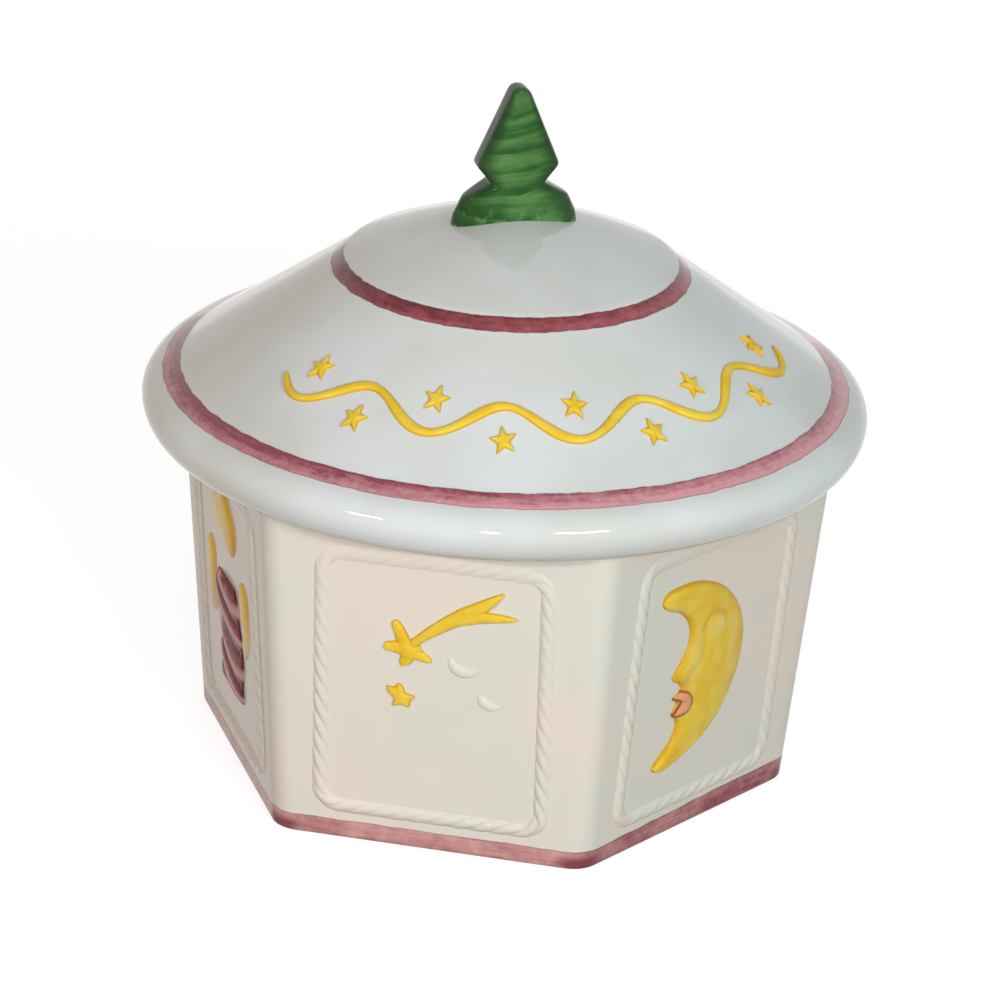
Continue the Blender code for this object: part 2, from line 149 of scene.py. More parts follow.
# A profile of (radius, height) turned round the axis: x = r cos a, y = r sin a, z = h
def turnedSurface(profile, columns, ring=False):
    angle = np.linspace(0, 2 * pi, columns, endpoint=False)
    radius, height = profile[:, 0, None], profile[:, 1, None]
    return gridSurface(np.stack([radius * np.cos(angle), radius * np.sin(angle), height + 0 * angle], -1), ring)


# Distance from every (x, y) to a polyline: the least over its segments of the distance to the nearest point
def distanceTo(x, y, line):
    best = np.full(np.shape(x), 1e9)
    for (ax, ay), (bx, by) in zip(line[:-1], line[1:]):
        along = ((x - ax) * (bx - ax) + (y - ay) * (by - ay)) / max((bx - ax) ** 2 + (by - ay) ** 2, 1e-9)
        along = np.clip(along, 0, 1)
        best = np.minimum(best, np.hypot(x - ax - along * (bx - ax), y - ay - along * (by - ay)))
    return best


# A soft line along a polyline, e^-(distance / width)^2
def softLine(x, y, line, width):
    return np.exp(-(distanceTo(x, y, line) / width) ** 2)


# A soft mound round (a, b), e^(-((x - a) / wide)^2 - ((y - b) / high)^2)
def softMound(x, y, a, b, wide, high):
    return np.exp(-((x - a) / wide) ** 2 - ((y - b) / high) ** 2)


# Whether every (x, y) lies in a closed outline: an odd count of its sides crossed by a ray
def insideOf(x, y, outline):
    inside = np.zeros(np.shape(x), bool)
    for (ax, ay), (bx, by) in zip(outline, np.roll(outline, -1, axis=0)):
        if ay != by:
            crossed = (ay > y) != (by > y)
            inside ^= crossed & (x < ax + (y - ay) * (bx - ax) / (by - ay))
    return inside


# A closed sprig over an outline that its centre sees all of: the outline shrinks to the centre in rings of
# share s, at height rise * (1 - s^blunt)^(1/2), and a flat back lies sunk below. Like the next, it gives its
# surfaces and a mark for the share in from its edge
def reliefOver(outline, centre, rise, sunk, place, rings, blunt):
    share = np.append(np.sin(np.linspace(0, pi / 2, rings)), (1, 0))[:, None]
    x, y = (centre[k] + share * (outline[:, k] - centre[k]) for k in (0, 1))
    height = rise * np.sqrt(np.clip(1 - share ** blunt, 0, 1)) + 0 * x
    edge = 1 - share + 0 * x
    height[rings:], edge[rings:] = -sunk, 0
    return [gridSurface(place(x, y, height))], {"edge": edge}


# A closed strip of clay between a left and a right line of as many points: across it s runs from -1 to 1 at
# height rise * (1 - |s|^blunt)^(1/2) times a rise along it, and a flat back lies sunk below
def reliefAlong(left, right, rise, sunk, place, across, blunt, carve=None):
    s = np.append(-np.cos(np.linspace(0, pi, across)), (1, 0, -1))
    x, y = (left[:, k, None] + (right - left)[:, k, None] * (s + 1) / 2 for k in (0, 1))
    height = rise[:, None] * np.sqrt(np.clip(1 - np.abs(s) ** blunt, 0, 1))
    if carve is not None:
        height = height + carve(x, y, s)
    edge = 1 - np.abs(s) + 0 * height
    height[:, across:], edge[:, across:] = -sunk, 0
    return [gridSurface(place(x, y, height))], {"edge": edge}


# The two sides of a strip round a middle line, at a half width for each point of it
def stripSides(line, half):
    ahead = np.gradient(line, axis=0)
    ahead /= np.hypot(*ahead.T)[:, None] + 1e-12
    aside = np.stack([-ahead[:, 1], ahead[:, 0]], axis=1) * half[:, None]
    return line + aside, line - aside


# Share from 0 to 1 of a strip's full width or rise that its rounded ends leave: an ellipse's quarter over the
# first and last part of its length
def roundEnds(count, part, least=0.02):
    t = np.linspace(0, 1, count)
    ends = np.clip(np.minimum(t, 1 - t) / part, 0, 1)
    return np.maximum(np.sqrt(1 - (1 - ends) ** 2), least)


# An sRGB hex colour as linear red, green, blue and alpha
def linearColour(code):
    parts = [int(code[i:i + 2], 16) / 255 for i in (1, 3, 5)]
    return [c / 12.92 if c <= 0.04045 else ((c + 0.055) / 1.055) ** 2.4 for c in parts] + [1.0]


# Adds a node, whose kind may be followed by its operation, or feeds one that is there. Names in lower case are
# settings, and values go to the inputs in order or by name: a number, a hex colour, or a socket or node
def addNode(tree, kind, *values, **named):
    node = kind
    if isinstance(kind, str):
        kind, *operation = kind.split()
        node = tree.nodes.new("ShaderNode" + kind)
        if operation:
            node.operation = operation[0]
    for name, value in named.items():
        if name[0].islower():
            setattr(node, name, value)
    inputs = list(zip([socket for socket in node.inputs if socket.enabled], values))
    inputs += [(node.inputs[name.replace("_", " ")], named[name]) for name in named if name[0].isupper()]
    for socket, value in inputs:
        if isinstance(value, bpy.types.Node):
            value = next(output for output in value.outputs if output.enabled)
        if isinstance(value, bpy.types.NodeSocket):
            tree.links.new(value, socket)
        else:
            socket.default_value = linearColour(value) if isinstance(value, str) else value
    return node


smooth = {"interpolation_type": "SMOOTHSTEP"}
rgba = {"data_type": "RGBA"}
# noise keeps near a half, so these stretches of it are spread out
noiseSpan = {"patches": (0.36, 0.64), "streaks": (0.32, 0.68), "mottles": (0.38, 0.62), "brush": (0.34, 0.66)}


# A new material, the function that adds its nodes, its shader and the place on the piece
def startMaterial(name):
    made = bpy.data.materials.new(name)
    made.use_nodes = True
    add = partial(addNode, made.node_tree)
    return made, add, made.node_tree.nodes["Principled BSDF"], add("TexCoord").outputs["Object"]


# The colour goes to the shader, with its roughness and its mirror, which is the specular level. A slow wave in
# the glaze, from noise, bends the reflections
def finishGlaze(add, shader, place, colour, look):
    add(shader, Base_Color=colour, Roughness=look["roughness"], Specular_IOR_Level=look["mirror"])
    if "waves" in look:
        waves = add("TexNoise", place, Scale=1 / look["waves"], Detail=look.get("waveDetail", 1.0))
        add(shader, Normal=add("Bump", Height=waves, Distance=look["waveHeight"], Strength=1.0))


# A mark that a piece carries on its points, as a share of another colour over the first
def markedColour(add, colour, mark, other):
    return add("Mix", add("Attribute", attribute_name=mark).outputs["Fac"], colour, other, **rgba)


# Glazed earthenware, whose pools and thin places make large, faint patches: colour = mix(first, second, noise)
def glazedBase(add, place, look):
    patches = add("TexNoise", place, Scale=1 / look["patches"], Detail=2.5)
    patches = add("MapRange", patches, *noiseSpan["patches"], **smooth)
    colour = add("Mix", patches, look["first"], look["second"], **rgba)
    # specks of iron: cells whose random value is rare, seen only near their centres
    cells = add("TexVoronoi", place, Scale=1 / look["speckSpacing"])
    rare = add("SeparateColor", cells.outputs["Color"])
    rare = add("Math GREATER_THAN", rare, 1 - look["speckShare"])
    near = add("MapRange", cells, 0.0, look["speckSize"] / look["speckSpacing"], look["speckDepth"], 0.0)
    return add("Mix", add("Math MULTIPLY", rare, near), colour, look["iron"], **rgba)


# Round the jar: x, y and z, the distance from the axis, and the distance along a circle from the front
def placeRound(add, place):
    axis = add("SeparateXYZ", place).outputs
    radius = add("VectorMath LENGTH", add("CombineXYZ", axis[0], axis[1]))
    turn = add("Math ARCTAN2", axis[0], add("Math MULTIPLY", axis[1], -1.0))
    return axis, radius, add("Math MULTIPLY", turn, radius)


# Painted band: paint laid with one brush between two values of a measure. Its mask is smoothstep at the start
# times one less smoothstep at the end, of the measure moved about by noise. Streaks are noise drawn out along
# the stroke, mottles are finer noise, and the last argument adds depth along it: paint reloaded round the jar's
# foot, and painted shade on the lid's left. Both edges dry darker
def paintedBand(add, place, along, measure, gate, under, band, reloadAndShade):
    wobble = add("TexNoise", place, Scale=1 / band["wobbleSize"], Detail=3.0)
    moved = add("Math MULTIPLY_ADD", wobble, band["wobble"], measure)
    moved = add("Math SUBTRACT", moved, band["wobble"] / 2)
    first, last, soft = band["first"], band["last"], band["soft"]
    start = add("MapRange", moved, first - soft, first + soft, **smooth)
    end = add("MapRange", moved, last - soft, last + soft, 1.0, 0.0, **smooth)
    mask = add("Math MULTIPLY", add("Math MULTIPLY", start, end), gate)
    streaks = add("CombineXYZ", along, measure)
    streaks = add("VectorMath MULTIPLY", streaks, (1 / band["streakLength"], 1 / band["streakWidth"], 1.0))
    streaks = add("MapRange", add("TexNoise", streaks, Scale=1.0, Detail=3.0), *noiseSpan["streaks"])
    # the brush loads one side: a share of the depth falls off across the band
    loaded = add("MapRange", moved, first, last, *band["loaded"])
    depth = add("Math MULTIPLY_ADD", streaks, band["streaks"], loaded)
    mottles = add("TexNoise", place, Scale=1 / band["mottleSize"], Detail=5.0, Roughness=0.7)
    mottles = add("MapRange", mottles, *noiseSpan["mottles"], -band["mottles"], band["mottles"])
    depth = add("Math ADD", add("Math ADD", depth, mottles), reloadAndShade, use_clamp=True)
    colour = add("Mix", depth, band["thin"], band["deep"], **rgba)
    # distance in from the nearer edge gives the dried line
    nearer = add("Math MINIMUM", add("Math SUBTRACT", moved, first), add("Math SUBTRACT", last, moved))
    dried = add("MapRange", nearer, 0.0, band["line"], band["lineDepth"], 0.0, **smooth)
    colour = add("Mix", dried, colour, band["edge"], **rgba)
    return add("Mix", mask, under, colour, **rgba)


# Clear glaze over the lid's bluish white slip: reads cool, and glossy enough for thin, bright streaks. Its two
# plum bands lie by their radius on the outside of the lid, deeper on the left and thinner towards the right as
# painted shade, and a dark line of painted shade lies just above the seat, where the rim meets the jar. Four
# numbers together are a range of metres and the shares at its ends
lidLook = {"first": "#D3DADB", "second": "#CCD0CD", "patches": 0.045, "waves": 0.022, "waveHeight": 0.00026,
           "roughness": 0.05, "mirror": 0.36, "iron": "#6B5A4A", "speckSpacing": 0.013, "speckShare": 0.03,
           "speckSize": 0.00035, "speckDepth": 0.55, "shadedLeft": (-0.1, 0.1, 0.34, -0.36),
           "shadeLineUnder": (0.1068, 0.1079, 0.85, 0.0), "shadeLineBeyond": 0.0935, "shadeLineColour": "#6F6A5C"}
lidBands = [{"first": 0.0984, "last": 0.1039, "above": 0.118, "soft": 0.00018, "wobble": 0.0011,
             "wobbleSize": 0.006, "streakLength": 0.013, "streakWidth": 0.0013, "streaks": 0.4,
             "loaded": (0.85, -0.15), "thin": "#D4969E", "deep": "#8A3244", "edge": "#6C2A36", "line": 0.00045,
             "lineDepth": 0.75, "mottleSize": 0.003, "mottles": 0.18},
            {"first": 0.0503, "last": 0.0541, "above": 0.1535, "soft": 0.00018, "wobble": 0.0009,
             "wobbleSize": 0.005, "streakLength": 0.009, "streakWidth": 0.0014, "streaks": 0.45,
             "loaded": (0.7, 0.2), "thin": "#AC5862", "deep": "#681622", "edge": "#5C1A22", "line": 0.0005,
             "lineDepth": 0.7, "mottleSize": 0.003, "mottles": 0.15}]
coolGlaze, add, shader, place = startMaterial("clear glaze over cool white earthenware")
colour = glazedBase(add, place, lidLook)
axis, radius, along = placeRound(add, place)
# painted shade: the lid's bands are deepened towards its left (-x) side
leftShade = add("MapRange", axis[0], *lidLook["shadedLeft"], **smooth)
for band in lidBands:
    gate = add("Math GREATER_THAN", axis[2], band["above"])
    colour = paintedBand(add, place, along, radius, gate, colour, band, leftShade)
# painted shade: a dark line outside the rim's foot, where the lid meets the jar
shadeLine = add("Math MULTIPLY", add("MapRange", axis[2], *lidLook["shadeLineUnder"], **smooth),
            add("Math GREATER_THAN", radius, lidLook["shadeLineBeyond"]))
colour = add("Mix", shadeLine, colour, lidLook["shadeLineColour"], **rgba)
finishGlaze(add, shader, place, colour, lidLook)

# Clear glaze over cream earthenware: warm, with faint pink and green patches, and darker in the rope's grooves,
# where the glaze pools and shade is painted. One plum stroke wanders round the foot, sinks to its full width on
# the right and pools at the corners. The foot ring's underside is bare
bodyLook = {**lidLook, "first": "#DED5CB", "second": "#D5D6CC", "patches": 0.038, "waves": 0.024,
            "waveHeight": 0.00025, "roughness": 0.13, "mirror": 0.1, "speckSpacing": 0.015, "poolsAndShade": "#B9AC98",
            "bandBeyond": 0.0792, "wander": (0.045, 0.088, 0.0, -0.0014), "fuller": (0.03, 0.06, -0.12, 0.3),
            "corners": (0.0893, 0.0921, 0.0, 0.8), "cornersUnder": (0.0025, 0.0058, 1.0, 0.0),
            "cornerColour": "#74283A", "bareUnder": 0.0005, "bareColour": "#CFC1A8"}
footBand = {"first": -0.001, "last": 0.0064, "soft": 0.0002, "wobble": 0.0013, "wobbleSize": 0.009,
            "streakLength": 0.018, "streakWidth": 0.0014, "streaks": 0.35, "loaded": (0.25, 0.1),
            "thin": "#CC9B98", "deep": "#8A3C4A", "edge": "#7A3644", "line": 0.0005, "lineDepth": 0.6,
            "mottleSize": 0.010, "mottles": 0.24}
creamGlaze, add, shader, place = startMaterial("clear glaze over cream earthenware")
# darker in the rope's grooves: pooled glaze and painted shade
colour = markedColour(add, glazedBase(add, place, bodyLook), "poolsAndShade", bodyLook["poolsAndShade"])
axis, radius, along = placeRound(add, place)
outer = add("Math GREATER_THAN", radius, bodyLook["bandBeyond"])
height = add("Math ADD", axis[2], add("MapRange", axis[0], *bodyLook["wander"], **smooth))
fuller = add("MapRange", axis[0], *bodyLook["fuller"], **smooth)
colour = paintedBand(add, place, along, height, outer, colour, footBand, fuller)
pools = add("Math MULTIPLY", add("MapRange", radius, *bodyLook["corners"], **smooth),
            add("MapRange", axis[2], *bodyLook["cornersUnder"], **smooth))
colour = add("Mix", pools, colour, bodyLook["cornerColour"], **rgba)
bare = add("Math LESS_THAN", axis[2], bodyLook["bareUnder"])
colour = add("Mix", bare, colour, bodyLook["bareColour"], **rgba)
finishGlaze(add, shader, place, colour, bodyLook)

# Copper green brushed on in curved strokes across the tree: a stroke's height is z less a bow of x squared, and
# its depth is noise drawn out along it, with a darker line where two strokes overlap, though some overlaps are
# faint. Very glossy, it is darker towards the tree's sides as painted shade, and worn places at the foot show
# the body through
greenLook = {"turn": -math.radians(27), "bow": 8.0, "tilt": 0.10, "drift": 0.006, "driftSize": 0.014,
             "spacing": 0.0068, "streakLength": 0.016, "streakWidth": 0.003, "thick": (0.38, 0.66),
             "first": "#275722", "second": "#527F45", "overlap": (0.0, 0.62, 0.95, 0.0),
             "overlapColour": "#1E4A1E", "faintSize": 0.008, "faint": (0.38, 0.6, 0.25),
             "side": (0.42, 0.95, 0.0, 0.85), "shadedSideColour": "#1D3A1A", "wornSize": 0.0032, "worn": (0.54, 0.7),
             "foot": (0.171, 0.178, 0.5, 0.0), "wornColour": "#9DB67E", "waves": 0.009, "waveHeight": 0.00022,
             "roughness": 0.05, "mirror": 0.4, "mirrorTint": "#9CB893"}
greenGlaze, add, shader, place = startMaterial("brushed copper green glaze")
spun = add("VectorRotate", Vector=place, Angle=greenLook["turn"], rotation_type="Z_AXIS")
axis = add("SeparateXYZ", spun).outputs
drift = add("TexNoise", place, Scale=1 / greenLook["driftSize"], Detail=1.0)
bowed = add("Math MULTIPLY", axis[0], axis[0])
bowed = add("Math MULTIPLY_ADD", bowed, -greenLook["bow"], axis[2])
bowed = add("Math MULTIPLY_ADD", axis[0], -greenLook["tilt"], bowed)
bowed = add("Math MULTIPLY_ADD", drift, greenLook["drift"], bowed)
streaks = add("CombineXYZ", axis[0], axis[1], bowed)
drawnOut = [1 / greenLook[key] for key in ("streakLength", "streakLength", "streakWidth")]
streaks = add("TexNoise", add("VectorMath MULTIPLY", streaks, drawnOut), Scale=1.0, Detail=3.0)
depth = add("MapRange", streaks, *greenLook["thick"])
colour = add("Mix", depth, greenLook["first"], greenLook["second"], **rgba)
overlap = add("Math FRACT", add("Math DIVIDE", bowed, greenLook["spacing"]))
overlap = add("MapRange", overlap, *greenLook["overlap"], **smooth)
faint = add("TexNoise", place, Scale=1 / greenLook["faintSize"], Detail=2.0)
overlap = add("Math MULTIPLY", overlap, add("MapRange", faint, *greenLook["faint"]))
colour = add("Mix", overlap, colour, greenLook["overlapColour"], **rgba)
# painted shade: darker towards the knob's rounded sides
side = add("Attribute", attribute_name="side").outputs["Fac"]
side = add("MapRange", side, *greenLook["side"], **smooth)
colour = add("Mix", side, colour, greenLook["shadedSideColour"], **rgba)
worn = add("TexNoise", place, Scale=1 / greenLook["wornSize"], Detail=5.0)
foot = add("MapRange", axis[2], *greenLook["foot"])
worn = add("Math MULTIPLY", add("MapRange", worn, *greenLook["worn"]), foot)
colour = add("Mix", worn, colour, greenLook["wornColour"], **rgba)
finishGlaze(add, shader, place, colour, greenLook)
add(shader, Specular_Tint=greenLook["mirrorTint"])


# Underglaze, laid thick or thin by the brush, under clear gloss. Marks on the points give the share in from a
# sprig's edge and the places where another colour shows
def underglaze(name, look):
    made, add, shader, place = startMaterial(name)
    brushed = add("TexNoise", place, Scale=1 / look["brush"], Detail=look["detail"], Distortion=look["swirl"])
    brushed = add("MapRange", brushed, *noiseSpan["brush"])
    colour = add("Mix", brushed, look["first"], look["second"], **rgba)
    edge = add("Attribute", attribute_name="edge").outputs["Fac"]
    colour = add("Mix", add("MapRange", edge, *look["edge"], **smooth), colour, look["edgeColour"], **rgba)
    for mark, other in look["marks"].items():
        colour = markedColour(add, colour, mark, other)
    finishGlaze(add, shader, place, colour, look)
    return made


# Yellow is thin and pale on the high middle of a sprig, with a painted highlight along the moon's rolled band,
# and deep orange at its edge and, as painted shade, in its grooves. Plum is pale where the brush missed and, as
# a painted highlight, on the candle's flute crests, and nearly black round its edge and, as painted shade, in
# the flutes
yellowPaint = underglaze("brushed yellow underglaze", {
    "brush": 0.007, "detail": 2.0, "swirl": 0.4, "first": "#E5CA45", "second": "#E2B82A",
    "edge": (0.0, 0.3, 0.55, 0.0), "edgeColour": "#C48A1C", "roughness": 0.22, "mirror": 0.12,
    "marks": {"hollow": "#B48A28", "paleAndLit": "#E2CE74", "thin": "#DCCFA4", "lips": "#DE9A72",
              "lipLine": "#7A3526"}})
plumPaint = underglaze("brushed plum underglaze", {
    "brush": 0.005, "detail": 3.0, "swirl": 0.8, "first": "#AE676A", "second": "#833E48",
    "edge": (0.0, 0.16, 0.75, 0.0), "edgeColour": "#54242E", "roughness": 0.3, "mirror": 0.06,
    "marks": {"hollow": "#54222C", "missed": "#DDBFB6"}})

# Fired clay without glaze: matt, and grainy by a fine noise in its colour and surface
clayLook = {"first": "#CDBFA6", "second": "#DFD5C2", "waves": 0.0007, "waveDetail": 4.0, "waveHeight": 0.00008,
            "roughness": 0.85, "mirror": 0.5}
bareClay, add, shader, place = startMaterial("unglazed earthenware")
grain = add("TexNoise", place, Scale=1 / clayLook["waves"], Detail=clayLook["waveDetail"])
finishGlaze(add, shader, place, add("Mix", grain, clayLook["first"], clayLook["second"], **rgba), clayLook)

slotFinish = {"cream_glaze": creamGlaze, "white_glaze": coolGlaze, "bare_clay": bareClay,
              "yellow_glaze": yellowPaint, "plum_glaze": plumPaint, "green_glaze": greenGlaze}
for entry in frame["record"]["subparts"]:
    for place in frame["nodes"][entry["node"]].material_slots:
        place.material = slotFinish[entry["material_slot"]]
print("glazes mixed")


# The lid, in millimetres: a rolled rim, a straight brim, the slanting band and a low dome, turned as one wall.
# Heights are above its seat
lid = {"seat": 105.3, "radius": 110, "rollWidth": 10.5, "rollLower": 9.7, "rollUpper": 8.0, "rollInside": 17.0,
       "rollSweep": math.radians(66), "brimStart": 11.8, "brimOuterRise": 19.7, "brimInnerRadius": 54.3,
       "brimInnerRise": 50.9, "domeStep": 4.5, "domeInset": 4, "domeFootRise": 54.9, "domeRise": 13.8,
       "domePower": 1.6, "wall": 6.0, "turn": math.radians(27), "columns": 288, "softened": 0.55,
       "outsideStep": 0.8, "insideStep": 1.5}
brimOuterRadius = lid["radius"] - lid["brimStart"]
domeRadius = lid["brimInnerRadius"] - lid["domeStep"]
brimSlope = (lid["brimInnerRise"] - lid["brimOuterRise"]) / (brimOuterRadius - lid["brimInnerRadius"])


def brimHeight(radius):
    return lid["seat"] + lid["brimOuterRise"] + (brimOuterRadius - radius) * brimSlope


# Dome: height falls from its top by the rise times (radius / dome radius) to a power
def domeHeight(radius):
    return lid["seat"] + lid["domeFootRise"] + lid["domeRise"] * (1 - (radius / domeRadius) ** lid["domePower"])


# Outside profile: an ellipse's arc round the rim, from the seat, then the brim's line, the step and the dome
def lidOutside():
    middle, widest = lid["radius"] - lid["rollWidth"], lid["seat"] + lid["rollLower"]
    dome = np.linspace(domeRadius, 0, 60)
    return np.vstack([
        arcPoints(middle, widest, np.linspace(-pi / 2, 0, 40), lid["rollWidth"], lid["rollLower"]),
        arcPoints(middle, widest, np.linspace(0, lid["rollSweep"], 30), lid["rollWidth"], lid["rollUpper"]),
        [(radius, brimHeight(radius)) for radius in (brimOuterRadius, lid["brimInnerRadius"])],
        np.stack([dome, domeHeight(dome)], 1)])


# Inside profile: the same wall's underside, from the dome down to the rim's flat seat
def lidInside():
    slant = lid["wall"] * math.hypot(1, brimSlope)
    rim, corner = lid["radius"] - lid["rollInside"], lid["brimInnerRadius"] - lid["wall"] / 2
    dome = np.linspace(0, domeRadius - lid["domeInset"], 24)
    return np.vstack([np.stack([dome, domeHeight(dome) - lid["wall"]], 1),
                      [(radius, brimHeight(radius) - slant) for radius in (corner, rim)], [(rim, lid["seat"])]])


outside, inside = (evenCurve(profile, step, lid["softened"] / step)
                   for profile, step in ((lidOutside(), lid["outsideStep"]), (lidInside(), lid["insideStep"])))
addPiece("lidShell", "lifting_lid", ["lid"], "white_glaze",
         [turnedSurface(np.vstack([outside[::-1], inside[::-1]]), lid["columns"])])

# Flat ring luted inside the lid, left unglazed, with the collar that drops into the jar's mouth
ring = {"outer": 92.7, "thick": 6.0, "collarOuter": 72.8, "collarWall": 5.5, "depth": 9.0, "eased": 1.2,
        "step": 0.5, "softened": 0.8, "columns": 240}
inner = ring["collarOuter"] - ring["collarWall"]
low, high = lid["seat"] - ring["depth"], lid["seat"] + ring["thick"]
profile = [(ring["outer"], lid["seat"]), (ring["outer"], high), (inner, high), (inner, low + ring["eased"]),
           (inner + ring["eased"], low), (ring["collarOuter"] - ring["eased"], low),
           (ring["collarOuter"], low + ring["eased"]), (ring["collarOuter"], lid["seat"])]
profile = evenCurve(profile, ring["step"], ring["softened"], closed=True)
addPiece("seatRing", "lifting_lid", ["lid_seat_ring"], "bare_clay",
         [turnedSurface(profile, ring["columns"], ring=True)])

# Fir-tree knob: its outline as (half width, height above its foot), and how deep and how round its edges are
tree = {"height": 42.2, "edge": 2.2, "tipRadius": 3.4, "baseDepth": 12.5, "tipDepth": 8.0, "softened": 0.75,
        "baseBlunt": 2.15, "crownBlunt": 4.6, "blend": (6, 14), "roll": 1.4, "rollHeight": 1.3, "columns": 144,
        "rollStart": 0.6, "settle": 2.5, "sunk": 0.3, "floor": 0.6, "step": 0.3,
        "half": [(19.25, -2.2), (19.25, 1.6), (16.25, 8.0), (8.25, 12.7), (12.75, 18.0)]}


# Knob: superellipses |x / a|^n + |y / b|^n = 1 stacked up a softened outline, nearly ellipses at its base and
# nearly flat in front above it. Its foot follows the dome, and its depth fades into the tip
def treeKnob():
    tip = tree["height"] - tree["tipRadius"]
    leanIn = math.atan((tree["half"][-1][0] - tree["tipRadius"]) / (tip - tree["half"][-1][1]))
    outline = np.vstack([tree["half"], arcPoints(0, tip, np.linspace(leanIn, pi / 2, 16), tree["tipRadius"])])
    outline = evenCurve(outline, tree["step"], tree["softened"] / tree["step"])
    halfWide, rise = np.maximum(outline[:, :1], 0), outline[:, 1:]
    share = np.clip(rise / tree["height"], 0, 1)
    nearTip = np.clip(halfWide / tree["tipRadius"], 0, 1)
    fade = np.where(rise > tip, np.sqrt(1 - (1 - nearTip) ** 2), 1)
    halfDeep = (tree["baseDepth"] + (tree["tipDepth"] - tree["baseDepth"]) * share) / 2 * fade
    # glaze gathers in a roll round the foot
    aboveFoot = np.clip(rise + tree["rollStart"], 0, None)
    halfDeep = halfDeep + tree["roll"] * np.exp(-aboveFoot / tree["rollHeight"])
    low, high = tree["blend"]
    base = np.clip((high - rise) / (high - low), 0, 1)
    base = base * base * (3 - 2 * base)
    blunt = tree["crownBlunt"] + (tree["baseBlunt"] - tree["crownBlunt"]) * base
    turn = np.linspace(0, 2 * pi, tree["columns"], endpoint=False) + pi / tree["columns"]
    across, deep = (np.sign(wave) * np.abs(wave) ** (2 / blunt) for wave in (np.cos(turn), np.sin(turn)))
    x, y = halfWide * across, halfDeep * deep
    sunk = domeHeight(np.hypot(x, y)) - tree["sunk"]
    k = np.clip((rise + tree["edge"]) / (tree["edge"] + tree["settle"]), 0, 1)
    z = sunk * (1 - k) + np.maximum(domeHeight(0) - tree["edge"] + rise, sunk) * k
    cos, sin = math.cos(lid["turn"]), math.sin(lid["turn"])
    points = np.stack([x * cos - y * sin, x * sin + y * cos, z], -1)
    floor = np.zeros_like(points[:1]) + (0, 0, domeHeight(0) - tree["floor"])
    side = np.concatenate([0 * across[:1], np.abs(across)])
    return [gridSurface(np.concatenate([floor, points]))], {"side": side}


addPiece("treeKnob", "lifting_lid", ["tree_knob"], "green_glaze", *treeKnob())


# Place on the brim, from (angle round the lid in radians times radius is the width) to x, y, z: a height stands
# square to the brim's slope
def onBrim(turn, radius, height):
    tilt = math.atan(brimSlope)
    out = radius + height * math.sin(tilt)
    angle = turn - pi / 2 + lid["turn"]
    z = brimHeight(radius) + height * math.cos(tilt)
    return np.stack([out * np.cos(angle), out * np.sin(angle), z], -1)


# Scroll of raised paint with a star in every bay. Radius swings as a sine of the angle, whose middle line lies
# an inset in from the brim's edge
scroll = {"inset": 18.7, "swing": 4.6, "span": math.radians(138), "waves": 4.5, "width": 3.0, "rise": 1.3,
          "sunk": 0.3, "ends": 0.02, "pressure": 0.14, "phase": 0.6, "taper": 14, "thinEnds": 0.5,
          "points": 420, "across": 18, "blunt": 2.2}
star = {"radius": 4.452, "waist": 1.932, "offset": 4.8, "rise": 1.2, "sunk": 0.3, "tilt": 0.22, "step": 0.22,
        "softened": 1.6}
scrollRadius = brimOuterRadius - scroll["inset"]


# The scroll is a strip drawn flat, as (angle * radius, -radius), so that its two sides are square to it. Its
# width swells and thins with the brush's pressure
def scrollStrip():
    share = np.linspace(0, 1, scroll["points"])
    wave = 2 * pi * scroll["waves"] * share
    radius = scrollRadius + scroll["swing"] * np.sin(wave)
    ends = roundEnds(len(share), scroll["ends"])
    stroke = ends * (1 - scroll["pressure"] + scroll["pressure"] * np.sin(2 * wave + scroll["phase"]))
    taper = np.clip(np.minimum(share, 1 - share) * scroll["taper"], 0, 1)
    taper = taper * (1 - scroll["thinEnds"]) + scroll["thinEnds"]
    left, right = stripSides(np.stack([scroll["span"] * (share - 0.5) * scrollRadius, -radius], 1),
                             scroll["width"] / 2 * stroke * taper)

    def place(x, y, height):
        return onBrim(x / scrollRadius, -y, height)
    return reliefAlong(left, right, scroll["rise"] * ends, scroll["sunk"], place, scroll["across"],
                       scroll["blunt"])


addPiece("lidScroll", "lifting_lid", ["lid_scroll"], "yellow_glaze", *scrollStrip())

# A star's radius runs between its five tips and its waists, and each star is tilted a little differently
bays = round(2 * scroll["waves"])
for bay in range(bays):
    number = str(bay + 1)
    turnAt = scroll["span"] * ((bay + 0.5) / bays - 0.5)
    radiusAt = scrollRadius + star["offset"] * (-1 if bay % 2 == 0 else 1)
    angle = pi / 2 + star["tilt"] * math.sin(2.4 * bay + 1) + np.arange(10) * pi / 5
    line = arcPoints(0, 0, angle, np.tile([star["radius"], star["waist"]], 5))
    line = evenCurve(line, star["step"], star["softened"], closed=True)

    def onStar(x, y, height):
        return onBrim(turnAt + x / radiusAt, radiusAt - y, height)
    addPiece("lidStar" + number, "lifting_lid", ["lid_star_" + number], "yellow_glaze",
             *reliefOver(line, (0, 0), star["rise"], star["sunk"], onStar, rings=12, blunt=3.0))
print("lid and knob made")


# The jar's body, in millimetres: a rounded hexagon that widens upwards, with a round mouth
jar = {"height": 105, "lipFlats": 177.5, "taper": 15.3, "cornerRadius": 9, "innerCornerRadius": 5, "wall": 6,
       "floor": 7, "floorRound": 6, "footRing": 9, "footRecess": 1.2, "footRound": 1.4, "lipRound": 1.5,
       "mouthRadius": 75, "mouthRound": 1.0, "ledge": 6, "ledgeDrop": 4, "bearingApothem": 80,
       "cornerSteps": 14, "sideSteps": 38}
footFlats = jar["lipFlats"] - jar["taper"]
lean = jar["taper"] / 2 / jar["height"]


